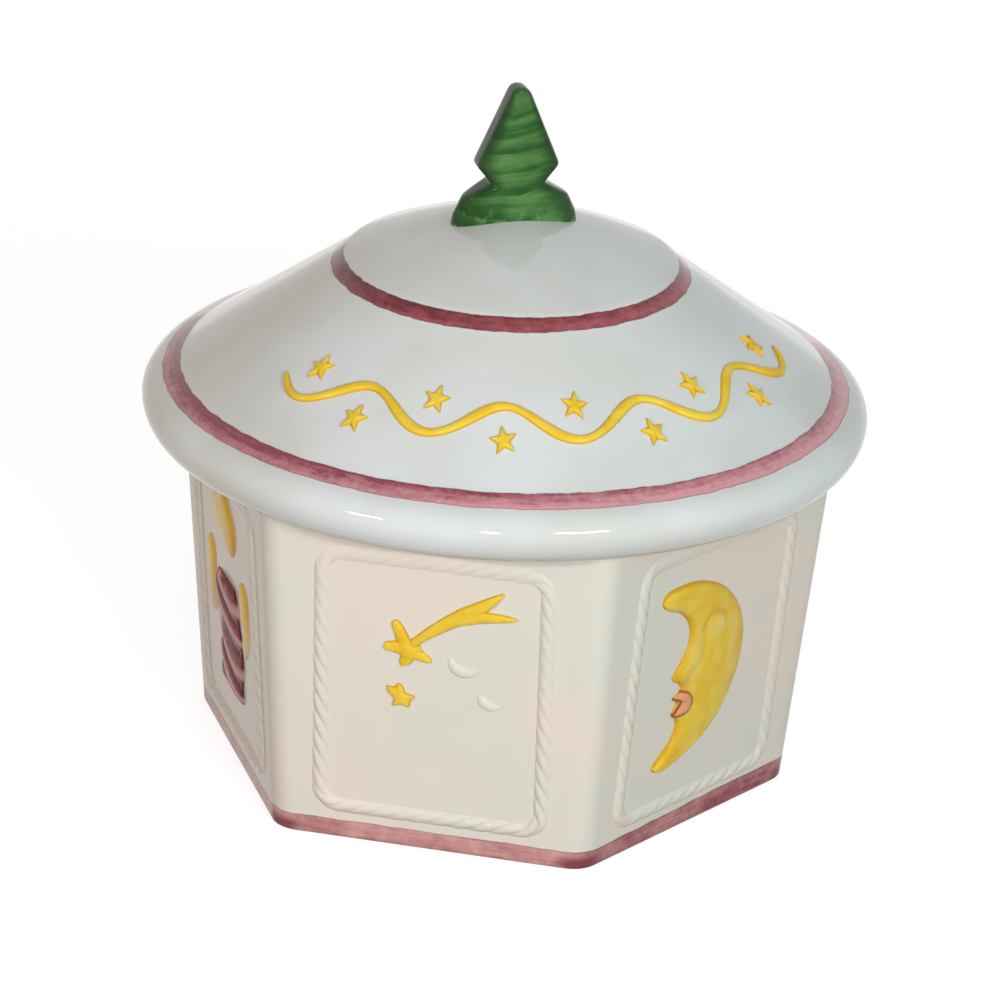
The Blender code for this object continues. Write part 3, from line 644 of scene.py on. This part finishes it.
# A hexagon with rounded corners is linear in its apothem and its corner radius: a point is
# apothem * along[i] + radius * around[i]
def hexagonColumns():
    along, around = [], []
    reach = 1 / math.cos(pi / 6)
    for side in range(6):
        corner, following = (reach * np.array([math.cos(k * pi / 3), math.sin(k * pi / 3)])
                             for k in (side - 1, side))
        for turn in (side - 1 + np.linspace(-0.5, 0.5, jar["cornerSteps"], endpoint=False)) * pi / 3:
            along.append(corner)
            around.append(np.array([math.cos(turn), math.sin(turn)]) - corner)
        square = (corner + following) / 2
        for share in np.linspace(0, 1, jar["sideSteps"], endpoint=False):
            along.append(corner * (1 - share) + following * share)
            around.append(square - along[-1])
    return np.array(along), np.array(around)


def halfFlats(z):
    return footFlats / 2 + lean * z


# Rings from the recess under the foot, up the outside, over the lip, in at the round mouth and down the inside
# to the floor: each row is (share of hexagon, apothem, corner radius, circle's radius, height)
def jarBody():
    along, around = hexagonColumns()
    # the mouth's points keep the bearings that a hexagon's have
    bearing = np.arctan2(*(along * jar["bearingApothem"] + around * jar["cornerRadius"]).T[::-1])
    circle = arcPoints(0, 0, bearing, 1)
    top, mouth = jar["height"], jar["mouthRadius"]
    corner, innerCorner = jar["cornerRadius"], jar["innerCornerRadius"]
    quarter = [(1 - math.sin(turn), 1 - math.cos(turn)) for turn in np.linspace(0, pi / 2, 7)]
    recess = footFlats / 2 - jar["footRound"] - jar["footRing"]
    rows = [(1, recess * part, corner * part, 0, jar["footRecess"]) for part in (0, 0.35, 0.7, 0.93)]
    rows += [(1, recess - jar["footRecess"] * part, corner, 0, jar["footRecess"] * part ** 2)
             for part in (1, 0.65, 0.3, 0)]
    rows += [(1, recess + jar["footRing"] * 0.5, corner, 0, 0)]
    rows += [(1, halfFlats(jar["footRound"] * up) - jar["footRound"] * inward, corner, 0, jar["footRound"] * up)
             for inward, up in quarter]
    rows += [(1, halfFlats(z), corner, 0, z)
             for z in np.linspace(jar["footRound"], top - jar["lipRound"], 46)[1:-1]]
    rows += [(1, halfFlats(top - jar["lipRound"] * down) - jar["lipRound"] * inward, corner, 0,
              top - jar["lipRound"] * down) for down, inward in quarter]
    inward = halfFlats(top) - jar["lipRound"]
    rows += [(1 - part, inward, corner, mouth + jar["mouthRound"], top) for part in (0.3, 0.65, 1)]
    rows += [(0, inward, corner, mouth + jar["mouthRound"] * (1 - math.sin(turn)),
              top - jar["mouthRound"] * (1 - math.cos(turn))) for turn in np.linspace(0, pi / 2, 6)[1:]]
    rows += [(0, inward, corner, mouth, top - jar["ledge"] * part) for part in (0.6, 1)]
    under = top - jar["ledge"] - jar["ledgeDrop"]
    rows += [(part, halfFlats(under) - jar["wall"], innerCorner, mouth, under + jar["ledgeDrop"] * (1 - part))
             for part in (0.5, 1)]
    rows += [(1, halfFlats(z) - jar["wall"], innerCorner, 0, z)
             for z in np.linspace(under, jar["floor"] + jar["floorRound"], 12)[1:-1]]
    for turn in np.linspace(0, pi / 2, 8):
        z = jar["floor"] + jar["floorRound"] * (1 - math.sin(turn))
        inner = halfFlats(z) - jar["wall"] - jar["floorRound"] * (1 - math.cos(turn))
        rows.append((1, inner, innerCorner, 0, z))
    rows += [(1, inner * part, innerCorner * part, 0, jar["floor"]) for part in (0.9, 0.6, 0.3, 0)]
    share, apothem, radius, mouthRadius, z = np.array(rows).T[..., None, None]
    ring = share * (apothem * along + radius * around) + (1 - share) * mouthRadius * circle
    return gridSurface(np.concatenate([ring, z + 0 * ring[..., :1]], -1))


addPiece("jarBody", "jar", ["jar_body"], "cream_glaze", [jarBody()])

# Each side's panel: a rope round it and the drawing inside, in units of the panel's height inside the rope
panel = {"sideMargin": 13.2, "footMargin": 11.5, "topMargin": 8.8, "units": 82, "corner": 6, "sunk": 0.25}
rope = {"width": 4.8, "rise": 1.15, "spacing": 6.3, "lay": 0.62, "groove": 0.56, "step": 0.55, "columns": 22,
        "grooveEdge": 1.5, "swells": 3, "softened": 1.0, "pooling": 0.45, "drained": 0.5, "uneven": 0.32,
        "nicked": 0.24, "filled": 0.58, "blunt": 1.9}
slant = math.hypot(1, lean)
panelHalf = footFlats / 2 * math.tan(pi / 6) - panel["sideMargin"]
panelLow, panelHigh = panel["footMargin"] * slant, (jar["height"] - panel["topMargin"]) * slant
unit = (panelHigh - panelLow - rope["width"]) / panel["units"]


# Place on a side: x runs along it and y up its slope from a middle, both in units of so many millimetres, and a
# height stands square to it
def onSide(side, size=1.0, middle=0.0):
    turn = (side - 1) * pi / 3 - pi / 2
    tilt = math.atan(lean)
    out = np.array([math.cos(turn), math.sin(turn), 0])
    upward = out * math.sin(tilt) + np.array([0, 0, math.cos(tilt)])
    square = out * math.cos(tilt) - np.array([0, 0, math.sin(tilt)])
    sideways = np.cross(upward, square)

    def place(x, y, height):
        x, y, height = (values[..., None] for values in (x * size, middle + y * size, height))
        return out * footFlats / 2 + x * sideways + y * upward + height * square
    return place


# Rope frame: half-round strands laid round a rounded rectangle. Height is the rise times sin of the angle
# across, less a groove that winds along by one strand's spacing and nicks both edges. Glaze pools in some
# stretches, and fills the rope along the top. The grooves carry a darker mark, pooled glaze and painted shade,
# that is weaker along the top
def ropeFrame(place, turned):
    r = panel["corner"]
    path = np.concatenate([arcPoints(x, y, np.linspace(start, start + pi / 2, 10), r) for x, y, start in (
        (panelHalf - r, panelLow + r, -pi / 2), (panelHalf - r, panelHigh - r, 0),
        (-panelHalf + r, panelHigh - r, pi / 2), (-panelHalf + r, panelLow + r, pi))])
    path = evenCurve(path, rope["step"], rope["softened"], closed=True)
    ahead = np.roll(path, -1, axis=0) - np.roll(path, 1, axis=0)
    ahead /= np.hypot(*ahead.T)[:, None]
    count = len(path)
    along = np.arange(count)[:, None] / count
    across = np.linspace(0, pi, rope["columns"])
    phase = round(count * rope["step"] / rope["spacing"]) * along + rope["lay"] * np.cos(across)
    swell = np.sin(2 * pi * rope["swells"] * along + turned)
    cut = rope["groove"] * (1 - rope["uneven"] + rope["uneven"] * swell)
    depth = 1 - cut * (1 - np.abs(np.sin(pi * phase))) ** rope["grooveEdge"]
    reach = rope["width"] / 2 * (1 - rope["nicked"] + rope["nicked"] * depth) * np.cos(across)
    filled = np.clip((path[:, 1:] - panelHigh + r) / r, 0, 1)
    height = rope["rise"] * (1 - rope["filled"] * filled) * np.sin(across) ** rope["blunt"] * depth
    # the groove mark: pooled glaze and painted shade, weaker where the top is filled
    poolsAndShade = (1 - depth) * (1 - rope["drained"] * filled) * rope["pooling"]
    # three columns more for the flat back
    reach = np.hstack([reach, rope["width"] / 2 * np.array([-1.0, 0, 1]) + 0 * reach[:, :3]])
    height, poolsAndShade = (np.hstack([values, np.full((count, 3), last)])
                      for values, last in ((height, -panel["sunk"]), (poolsAndShade, 0.0)))
    x, y = path[:, :1] + ahead[:, 1:] * reach, path[:, 1:] - ahead[:, :1] * reach
    return [gridSurface(place(x, y, height), ring=True)], {"poolsAndShade": poolsAndShade}


for side in range(1, 7):
    addPiece("ropeFrame" + str(side), "jar", ["rope_frame_" + str(side)], "cream_glaze",
             *ropeFrame(onSide(side), side))
print("body and rope frames made")


# Sprigs are drawn in panel units from the panel's middle, and all lie this far into the wall
sunk = 0.25


def onPanel(side):
    return onSide(side, unit, (panelLow + panelHigh) / 2)


# The comet is made of flat ribbons, each a line of points with the half width at each, and each a little lower
comet = {"rise": 1.35, "headRise": 1.431, "lower": 0.05,
         "tail": [([(-7.6, 14.4), (-4.6, 17.6), (-0.8, 20.8), (3.8, 24.2), (8.6, 27.4), (13.4, 30.6),
                    (17.4, 33.6), (21.2, 36.9)], [2.2, 1.4, 1.8, 2.2, 2.6, 2.3, 1.6, 0.7]),
                  ([(5.6, 24.8), (10.6, 26.9), (15.4, 28.0), (20.2, 28.4), (25.4, 28.7)],
                   [1.4, 2.1, 1.9, 1.4, 0.6])],
         "rays": [([(-8.4, 14.0), (-9.4, 17.2), (-10.8, 20.6), (-12.3, 23.3)], [2.6, 2.1, 1.8, 1.1]),
                  ([(-7.6, 13.2), (-11.0, 14.2), (-13.4, 14.2), (-15.2, 14.4)], [2.4, 2.1, 1.7, 1.3]),
                  ([(-7.4, 12.8), (-8.0, 11.0), (-8.6, 9.4), (-8.4, 8.3)], [2.6, 2.2, 1.8, 1.3]),
                  ([(-7.0, 13.4), (-4.8, 12.6), (-2.6, 11.6), (-0.4, 10.7)], [2.6, 2.0, 1.5, 0.7]),
                  ([(-7.4, 13.6), (-4.6, 14.4), (-3.7, 14.9)], [2.6, 1.7, 1.2])],
         "head": (-7.6, 13.4), "headRadius": 3.1}


# A ribbon through given points: its half widths are eased between them, and its rise comes sooner than its
# full width
def ribbonOver(points, widths, rise, place, blunt=2.6, part=0.14):
    line = throughPoints(points, steps=14, closed=False)
    wide = np.interp(np.linspace(0, 1, len(line)), np.linspace(0, 1, len(widths)), widths)
    left, right = stripSides(line, wide * roundEnds(len(line), part, least=0.03))
    rise = rise * roundEnds(len(line), part * 0.8)
    return reliefAlong(left, right, rise, sunk, place, across=16, blunt=blunt)


# Crescents of faint relief, as (x, y, radius, width, first and last turn in degrees), that swell in the middle
curls = {"upper": (10, 13.2, 4.9, 3.6, 182, 325), "lower": (18.6, 2, 4.2, 3.2, 178, 300), "rise": 0.75,
         "points": 60, "ends": 0.06, "fullness": 0.7}


def curlOver(x, y, radius, wide, first, last, place):
    swell = np.sin(np.linspace(curls["ends"], pi - curls["ends"], curls["points"])) ** curls["fullness"]
    line = arcPoints(x, y, np.radians(np.linspace(first, last, curls["points"])), radius)
    left, right = stripSides(line, wide / 2 * swell)
    return reliefAlong(left, right, curls["rise"] * swell, sunk, place, across=14, blunt=2.2)


littleStar = {"centre": (-9.9, -2.4), "rise": 1.3,
              "line": [(-14.2, 0.6), (-11.6, 0.7), (-10.4, 2.1), (-8.9, 1.0), (-8.2, -1.0), (-5.2, -1.9),
                       (-6.6, -3.8), (-7.0, -6.0), (-9.4, -5.4), (-12.4, -6.2), (-11.8, -3.5), (-13.6, -1.4)]}
for side in (1, 4):
    place, number = onPanel(side), str(side)
    parts = [ribbonOver(points, widths, comet["rise"] * (1 - comet["lower"] * k), place)
             for k, (points, widths) in enumerate(comet["tail"] + comet["rays"])]
    around = arcPoints(*comet["head"], np.linspace(0, 2 * pi, 48, endpoint=False), comet["headRadius"])
    parts.append(reliefOver(around, comet["head"], comet["headRise"], sunk, place, rings=14, blunt=3.0))
    edge = np.concatenate([marks["edge"].ravel() for surfaces, marks in parts])
    addPiece("comet" + number, "jar", ["comet_" + number], "yellow_glaze",
             [surface for surfaces, marks in parts for surface in surfaces], {"edge": edge})
    line = evenCurve(throughPoints(littleStar["line"], 6), step=0.25, soften=1.2, closed=True)
    addPiece("littleStar" + number, "jar", ["little_star_" + number], "yellow_glaze",
             *reliefOver(line, littleStar["centre"], littleStar["rise"], sunk, place, rings=14, blunt=3.0))
    for which in ("upper", "lower"):
        addPiece(which + "Curl" + number, "jar", [which + "_curl_" + number], "cream_glaze",
                 *curlOver(*curls[which], place))

# Crescent moon with a plain sleeping face. Back and front are its two outlines from the upper horn to the
# lower. A groove's line has (steps between its points, width, depth, shade), the shade being painted shade in
# the groove. A mound is (x, y, half width, half height, rise), and a pale place is a mound of thin paint,
# except the long one along the rolled band, which is a painted highlight
moon = {"rise": 2.0, "rows": 300, "across": 90, "blunt": 3.4, "fade": 0.25, "shadeMost": 0.6, "paleMost": 0.8,
        "lipRise": 0.35, "lipEdge": 1.2, "lipLine": 0.36,
        "grooves": {"eyelid": (5, 1.0, 0.45, 0.42), "crease": (5, 1.5, 0.42, 0.14), "fold": (4, 1.5, 0.22, 0.1),
                    "mouth": (1, 0.6, 0.4, 0.0)},
        "back": [(-25.6, 29.6), (-25.2, 31.4), (-23.4, 32.7), (-19.5, 33.3), (-10.5, 32.8), (-1.5, 29.8),
                 (6, 25), (12, 18), (15.5, 9.5), (15.9, 0), (13.2, -10), (8, -18.6), (1, -24.4), (-8, -28.4),
                 (-15.5, -30.3), (-19.6, -30.2), (-21.2, -28.4)],
        "front": [(-25.6, 29.6), (-24.4, 27.6), (-21.2, 25.8), (-17, 23.9), (-12.6, 20), (-10.6, 15.4),
                  (-11, 10), (-13.6, 5.6), (-16.6, 1.2), (-12.8, -1.8), (-11.8, -4.2), (-15.2, -6.2),
                  (-13, -8.4), (-14.8, -11.6), (-12.6, -14.2), (-12.2, -17.8), (-14.8, -22.2), (-18.6, -25.4),
                  (-21.2, -28.4)],
        "eyelid": [(-5.4, 15.4), (-4.6, 18.2), (-2.4, 19.8), (0.6, 19.8), (3.2, 18.4), (5.0, 15.6)],
        "crease": [(-4.2, 13.6), (-4.4, 9.6), (-4.8, 5.6), (-7.2, 3.0), (-9.2, 1.4), (-9.8, -2.2)],
        "fold": [(-19, 29.6), (-9, 28.6), (-1.5, 26.6), (4.5, 23.0), (8.9, 17.4), (11.6, 8.6), (11.7, 2.2),
                 (10.2, -6.8), (5.1, -14.7), (-2.0, -20.6), (-11, -24.8)],
        "mouth": [(-14.4, -8.4), (-10.2, -8.2)],
        "lips": [(-15.4, -5.7), (-12.8, -4.4), (-9.6, -5.0), (-7.8, -7.4), (-7.7, -10.2), (-9.8, -12.0),
                 (-14.4, -12.3), (-13.4, -10.4), (-11.7, -8.3), (-13.0, -6.9)],
        "mounds": [(0.8, 15.4, 4.0, 2.8, 0.3), (-1.5, 0.5, 6.5, 7.5, 0.5), (-3, 24.4, 6, 3, 0.2),
                   (-12.5, 2.6, 3.4, 4.5, 0.35)],
        "paleAndLit": [(0.8, 15.4, 4.0, 2.8, 0.8), (-8.2, 6, 2.6, 8, 0.75), (8.5, 5, 2.2, 13, 0.45)]}


# Moon: a domed strip between back and front, less soft grooves along its eyelid, its cheek's crease, its mouth
# and the fold of a rolled band, plus mounds and raised lips
def moonOver(place):
    marks, share = {}, np.linspace(0, 1, moon["rows"])
    # rows crowd towards the horns, where the strip narrows
    share = (share + 0.5 * (1 - np.cos(pi * share))) / 2
    lines = [evenCurve(throughPoints(moon[key], closed=False), step=0.2, soften=1.5)
             for key in ("back", "front")]
    lines = [pointsAt(line, share * lengthAlong(line)[-1]) for line in lines]

    def carve(x, y, s):
        inside = np.clip((1 - np.abs(s)) / moon["fade"], 0, 1)
        grooves = shades = 0
        for key, (steps, width, depth, shade) in moon["grooves"].items():
            groove = softLine(x, y, throughPoints(moon[key], steps, closed=False), width)
            grooves, shades = grooves + depth * groove, shades + shade * groove
        outline = throughPoints(moon["lips"], 5)
        lips, away = 1.0 * insideOf(x, y, outline), distanceTo(x, y, np.vstack([outline, outline[:1]]))
        mounds, paleAndLit = (sum(rise * softMound(x, y, *mound) for *mound, rise in moon[key])
                        for key in ("mounds", "paleAndLit"))
        # painted shade: darker in the moon's grooves
        marks["hollow"] = np.clip(shades, 0, moon["shadeMost"]) * inside
        # thin paint, and a painted highlight along the rolled band
        marks["paleAndLit"] = np.clip(paleAndLit, 0, moon["paleMost"])
        marks["lips"] = lips
        marks["lipLine"] = np.exp(-(away / moon["lipLine"]) ** 2)
        return inside * (mounds - grooves + moon["lipRise"] * lips * np.clip(away / moon["lipEdge"], 0, 1))
    rise = moon["rise"] * roundEnds(moon["rows"], 0.10, 0.05)
    surfaces, edge = reliefAlong(*lines, rise, sunk, place, moon["across"], moon["blunt"], carve)
    return surfaces, {**edge, **marks}


for side in (2, 5):
    addPiece("moon" + str(side), "jar", ["moon_" + str(side)], "yellow_glaze", *moonOver(onPanel(side)))

# Twisted candle: its two sides, from the foot up, and flutes that wind up round it
candle = {"rise": 1.9, "rows": 220, "across": 70, "blunt": 2.6, "flutes": 3.7, "fluteDepth": 0.8,
          "scallop": 0.9, "corner": 1.6, "foot": -30, "height": 38, "winds": 0.46, "levels": 0.3,
          "wavers": 0.12, "fade": 0.2, "hollowUnder": 0.85, "missed": (-9, -6.4, 4.2, 3), "missedShare": 1.1,
          "crestHighlight": 0.84, "crestHighlightShare": 4.2, "paintMost": 0.95,
          "left": [(-12.6, -30), (-12.8, -25.4), (-11.2, -19), (-9.8, -13.4), (-10.4, -9.8), (-13.0, -7.0),
                   (-14.6, -3.2), (-14.4, 1.3), (-13.2, 5.0), (-11.8, 8.0)],
          "right": [(13.2, -30), (14.0, -25.6), (14.8, -20), (16.0, -14), (16.6, -9.5), (15.6, -5.2),
                    (13.6, -1.6), (12.6, 2), (11.6, 5.6), (9.6, 8.8)]}
flame = {"rise": 1.5, "centre": (1.0, 29.0),
         "line": [(6.0, 18.6), (10.6, 20.6), (13.0, 25.5), (11.8, 31.5), (7.4, 35.4), (1.5, 39.6), (-4.5, 37.2),
                  (-11.5, 34.4), (-14.4, 29.6), (-11.6, 25.2), (-4.6, 21.6)]}
glow = {"rise": 0.9, "line": [(18.8, -11.2), (20.6, -4.0), (20.2, 3.0), (19.8, 9.4), (19.2, 15.4)],
        "half": [1.8, 3.8, 4.9, 5.4, 3.6], "washed": (-0.1, 1.5), "thinMost": 0.8}


# A flute's height from 0 to 1 is |sin pi p|: its phase p grows with y, and falls steeply from the left to level
# out towards the right
def fluteAt(y, s):
    phase = (y - candle["foot"]) / candle["height"] * candle["flutes"]
    phase = phase + candle["winds"] * (s - candle["levels"] * s ** 2)
    return np.abs(np.sin(pi * (phase + candle["wavers"] * np.sin(0.31 * y + 2 * s))))


def candleOver(place):
    marks, sides = {}, []
    for key, s in (("left", -1), ("right", 1)):
        line = evenCurve(throughPoints(candle[key], closed=False), step=0.2, soften=2.0)
        line = pointsAt(line, np.linspace(0, lengthAlong(line)[-1], candle["rows"]))
        line[:, 0] += s * candle["scallop"] * (fluteAt(line[:, 1], s) - 0.75)
        # rounded corners: the sides draw in near both ends along a quarter circle
        inset = 1 - np.minimum(line[:, 1] - line[0, 1], line[-1, 1] - line[:, 1]) / candle["corner"]
        line[:, 0] -= s * candle["corner"] * (1 - np.sqrt(1 - np.clip(inset, 0, 1) ** 2))
        sides.append(line)

    def carve(x, y, s):
        flute = fluteAt(y, s)
        # painted shade: darker in the candle's flutes
        marks["hollow"] = np.clip(1 - flute / candle["hollowUnder"], 0, 1) * candle["paintMost"]
        missed = candle["missedShare"] * softMound(x, y, *candle["missed"])
        # painted highlight: the flute crests are paled, carried in the same mark as the missed paint
        crestHighlight = candle["crestHighlightShare"] * np.clip(flute - candle["crestHighlight"], 0, 1)
        marks["missed"] = np.clip(missed + crestHighlight, 0, candle["paintMost"])
        return np.clip((1 - np.abs(s)) / candle["fade"], 0, 1) * candle["fluteDepth"] * (flute - 1)
    rise = candle["rise"] * roundEnds(candle["rows"], 0.05, 0.05)
    surfaces, edge = reliefAlong(*sides, rise, sunk, place, candle["across"], candle["blunt"], carve)
    return surfaces, {**edge, **marks}


for side in (3, 6):
    place, number = onPanel(side), str(side)
    addPiece("candle" + number, "jar", ["candle_" + number], "plum_glaze", *candleOver(place))
    line = evenCurve(throughPoints(flame["line"]), step=0.4, soften=1.5, closed=True)
    addPiece("flame" + number, "jar", ["flame_" + number], "yellow_glaze",
             *reliefOver(line, flame["centre"], flame["rise"], sunk, place, rings=20, blunt=2.6))
    for which, flipped in (("left", -1), ("right", 1)):
        points = np.array(glow["line"]) * [flipped, 1]
        surfaces, marks = ribbonOver(points, glow["half"], glow["rise"], place, blunt=2.0, part=0.2)
        # the wash of paint thins towards the foot of the ray
        washed = np.linspace(*glow["washed"], len(marks["edge"]))[:, None]
        marks["thin"] = np.clip(1 - washed, 0, glow["thinMost"]) + 0 * marks["edge"]
        addPiece("glow" + number + which.title(), "jar", ["glow_" + number + "_" + which], "yellow_glaze",
                 surfaces, marks)
print("sprigs made")


# White floor and plain soft light. The room is a gradient by direction, warm and dim on the left and cool on
# the right: colour = mix(left, right, smoothstep(direction . right)). The camera and the glaze's mirror see the
# room and floor white, through Light Path, so that the lamps needn't be strong enough to whiten them. Far from
# the lamps the paper glows more, so that it meets the white backdrop without a line
room = {"left": "#AA6E44", "right": "#BAC6C2", "change": (-0.9, 0.5), "turn": math.radians(11.5),
        "strength": 0.62, "white": 0.98, "reach": 3.0, "floorSeen": "#A6A9AC", "floorLit": "#988A7C",
        "floorGlow": (0.4, 2.2, 0.8, 0.98)}


# 1 for rays from the camera, mirrored or passed on, and 0 for those that light the jar
def seenOrMirrored(add):
    rays = add("LightPath").outputs
    share = add("Math MAXIMUM", rays["Is Camera Ray"], rays["Is Glossy Ray"])
    return add("Math MAXIMUM", share, rays["Is Transmission Ray"])


mesh = bpy.data.meshes.new("studioFloor")
corners = [(x * room["reach"], y * room["reach"], 0) for x, y in ((-1, -1), (1, -1), (1, 1), (-1, 1))]
mesh.from_pydata(corners, [], [(0, 1, 2, 3)])
floor = bpy.data.objects.new("studioFloor", mesh)
bpy.context.scene.collection.objects.link(floor)
paper, add, shader, place = startMaterial("matt white studio paper")
seen = seenOrMirrored(add)
lift = add("MapRange", add("VectorMath LENGTH", place), *room["floorGlow"], **smooth)
add(shader, Base_Color=add("Mix", seen, room["floorLit"], room["floorSeen"], **rgba), Emission_Color="#FFFFFF",
    Emission_Strength=add("Math MULTIPLY", seen, lift), Roughness=0.9, Specular_IOR_Level=0.0)
mesh.materials.append(paper)

world = bpy.data.worlds.new("studio")
bpy.context.scene.world = world
world.use_nodes = True
add = partial(addNode, world.node_tree)
rightward = (math.cos(room["turn"]), math.sin(room["turn"]), 0.0)
share = add("VectorMath DOT_PRODUCT", add("TexCoord").outputs["Generated"], rightward)
share = add("MapRange", share, *room["change"], **smooth)
colour = add("Mix", share, room["left"], room["right"], **rgba)
seen = seenOrMirrored(add)
add(world.node_tree.nodes["Background"], Color=add("Mix", seen, colour, "#FFFFFF", **rgba),
    Strength=add("Mix", seen, room["strength"], room["white"]))

# Lamps, as (azimuth from the camera to the right, elevation above the jar's middle, distance, size, watts,
# colour, mirrored). The big soft key and the fill behind aren't mirrored in the glaze; the small ones are, as
# thin, bright streaks
lamps = {"keyLamp": (7, 18, 1.5, (0.8, 0.7), 8.3, "#F4FAFF", False),
         "fillLamp": (178, 14, 1.6, (1.1, 0.6), 6.0, "#FFF8F0", False),
         "windowLeft": (-40, 21, 1.6, (0.3, 0.03), 6.0, "#FFFFFF", True),
         "windowMiddle": (-2, 17, 1.6, (0.16, 0.025), 1.7, "#FFFFFF", True),
         "windowRight": (25, 20, 1.6, (0.44, 0.026), 8.0, "#FFFFFF", True)}
middle = Vector((0, 0, 0.1))
for name, (azimuth, elevation, away, size, watts, tint, mirrored) in lamps.items():
    light = bpy.data.lights.new(name, "AREA")
    light.shape = "RECTANGLE"
    light.size, light.size_y = size
    light.energy = watts
    light.color = linearColour(tint)[:3]
    holder = bpy.data.objects.new(name, light)
    around, above = room["turn"] + math.radians(azimuth) - pi / 2, math.radians(elevation)
    toward = Vector((math.cos(above) * math.cos(around), math.cos(above) * math.sin(around), math.sin(above)))
    holder.location = middle + away * toward
    holder.rotation_euler = (-toward).to_track_quat("-Z", "Y").to_euler()
    holder.visible_glossy = mirrored
    bpy.context.scene.collection.objects.link(holder)

# The photographer's place: metres back from the jar and above its foot, and the angles of the lens
view = {"back": 1.2687, "above": 0.6242, "roundBy": math.radians(11.53), "downBy": math.radians(23.2),
        "rolledBy": math.radians(2.75), "lens": 162, "sensor": 36}
cameraData = bpy.data.cameras.new("camera")
cameraData.lens = view["lens"]
cameraData.sensor_width = view["sensor"]
camera = bpy.data.objects.new("camera", cameraData)
camera.matrix_world = (
    Matrix.Rotation(view["roundBy"], 4, "Z") @ Matrix.Translation((0, -view["back"], view["above"]))
    @ Matrix.Rotation(pi / 2 - view["downBy"], 4, "X") @ Matrix.Rotation(view["rolledBy"], 4, "Z"))
bpy.context.scene.collection.objects.link(camera)
bpy.context.scene.camera = camera
bpy.context.scene.view_settings.view_transform = "Standard"
print("stage, light and camera set")
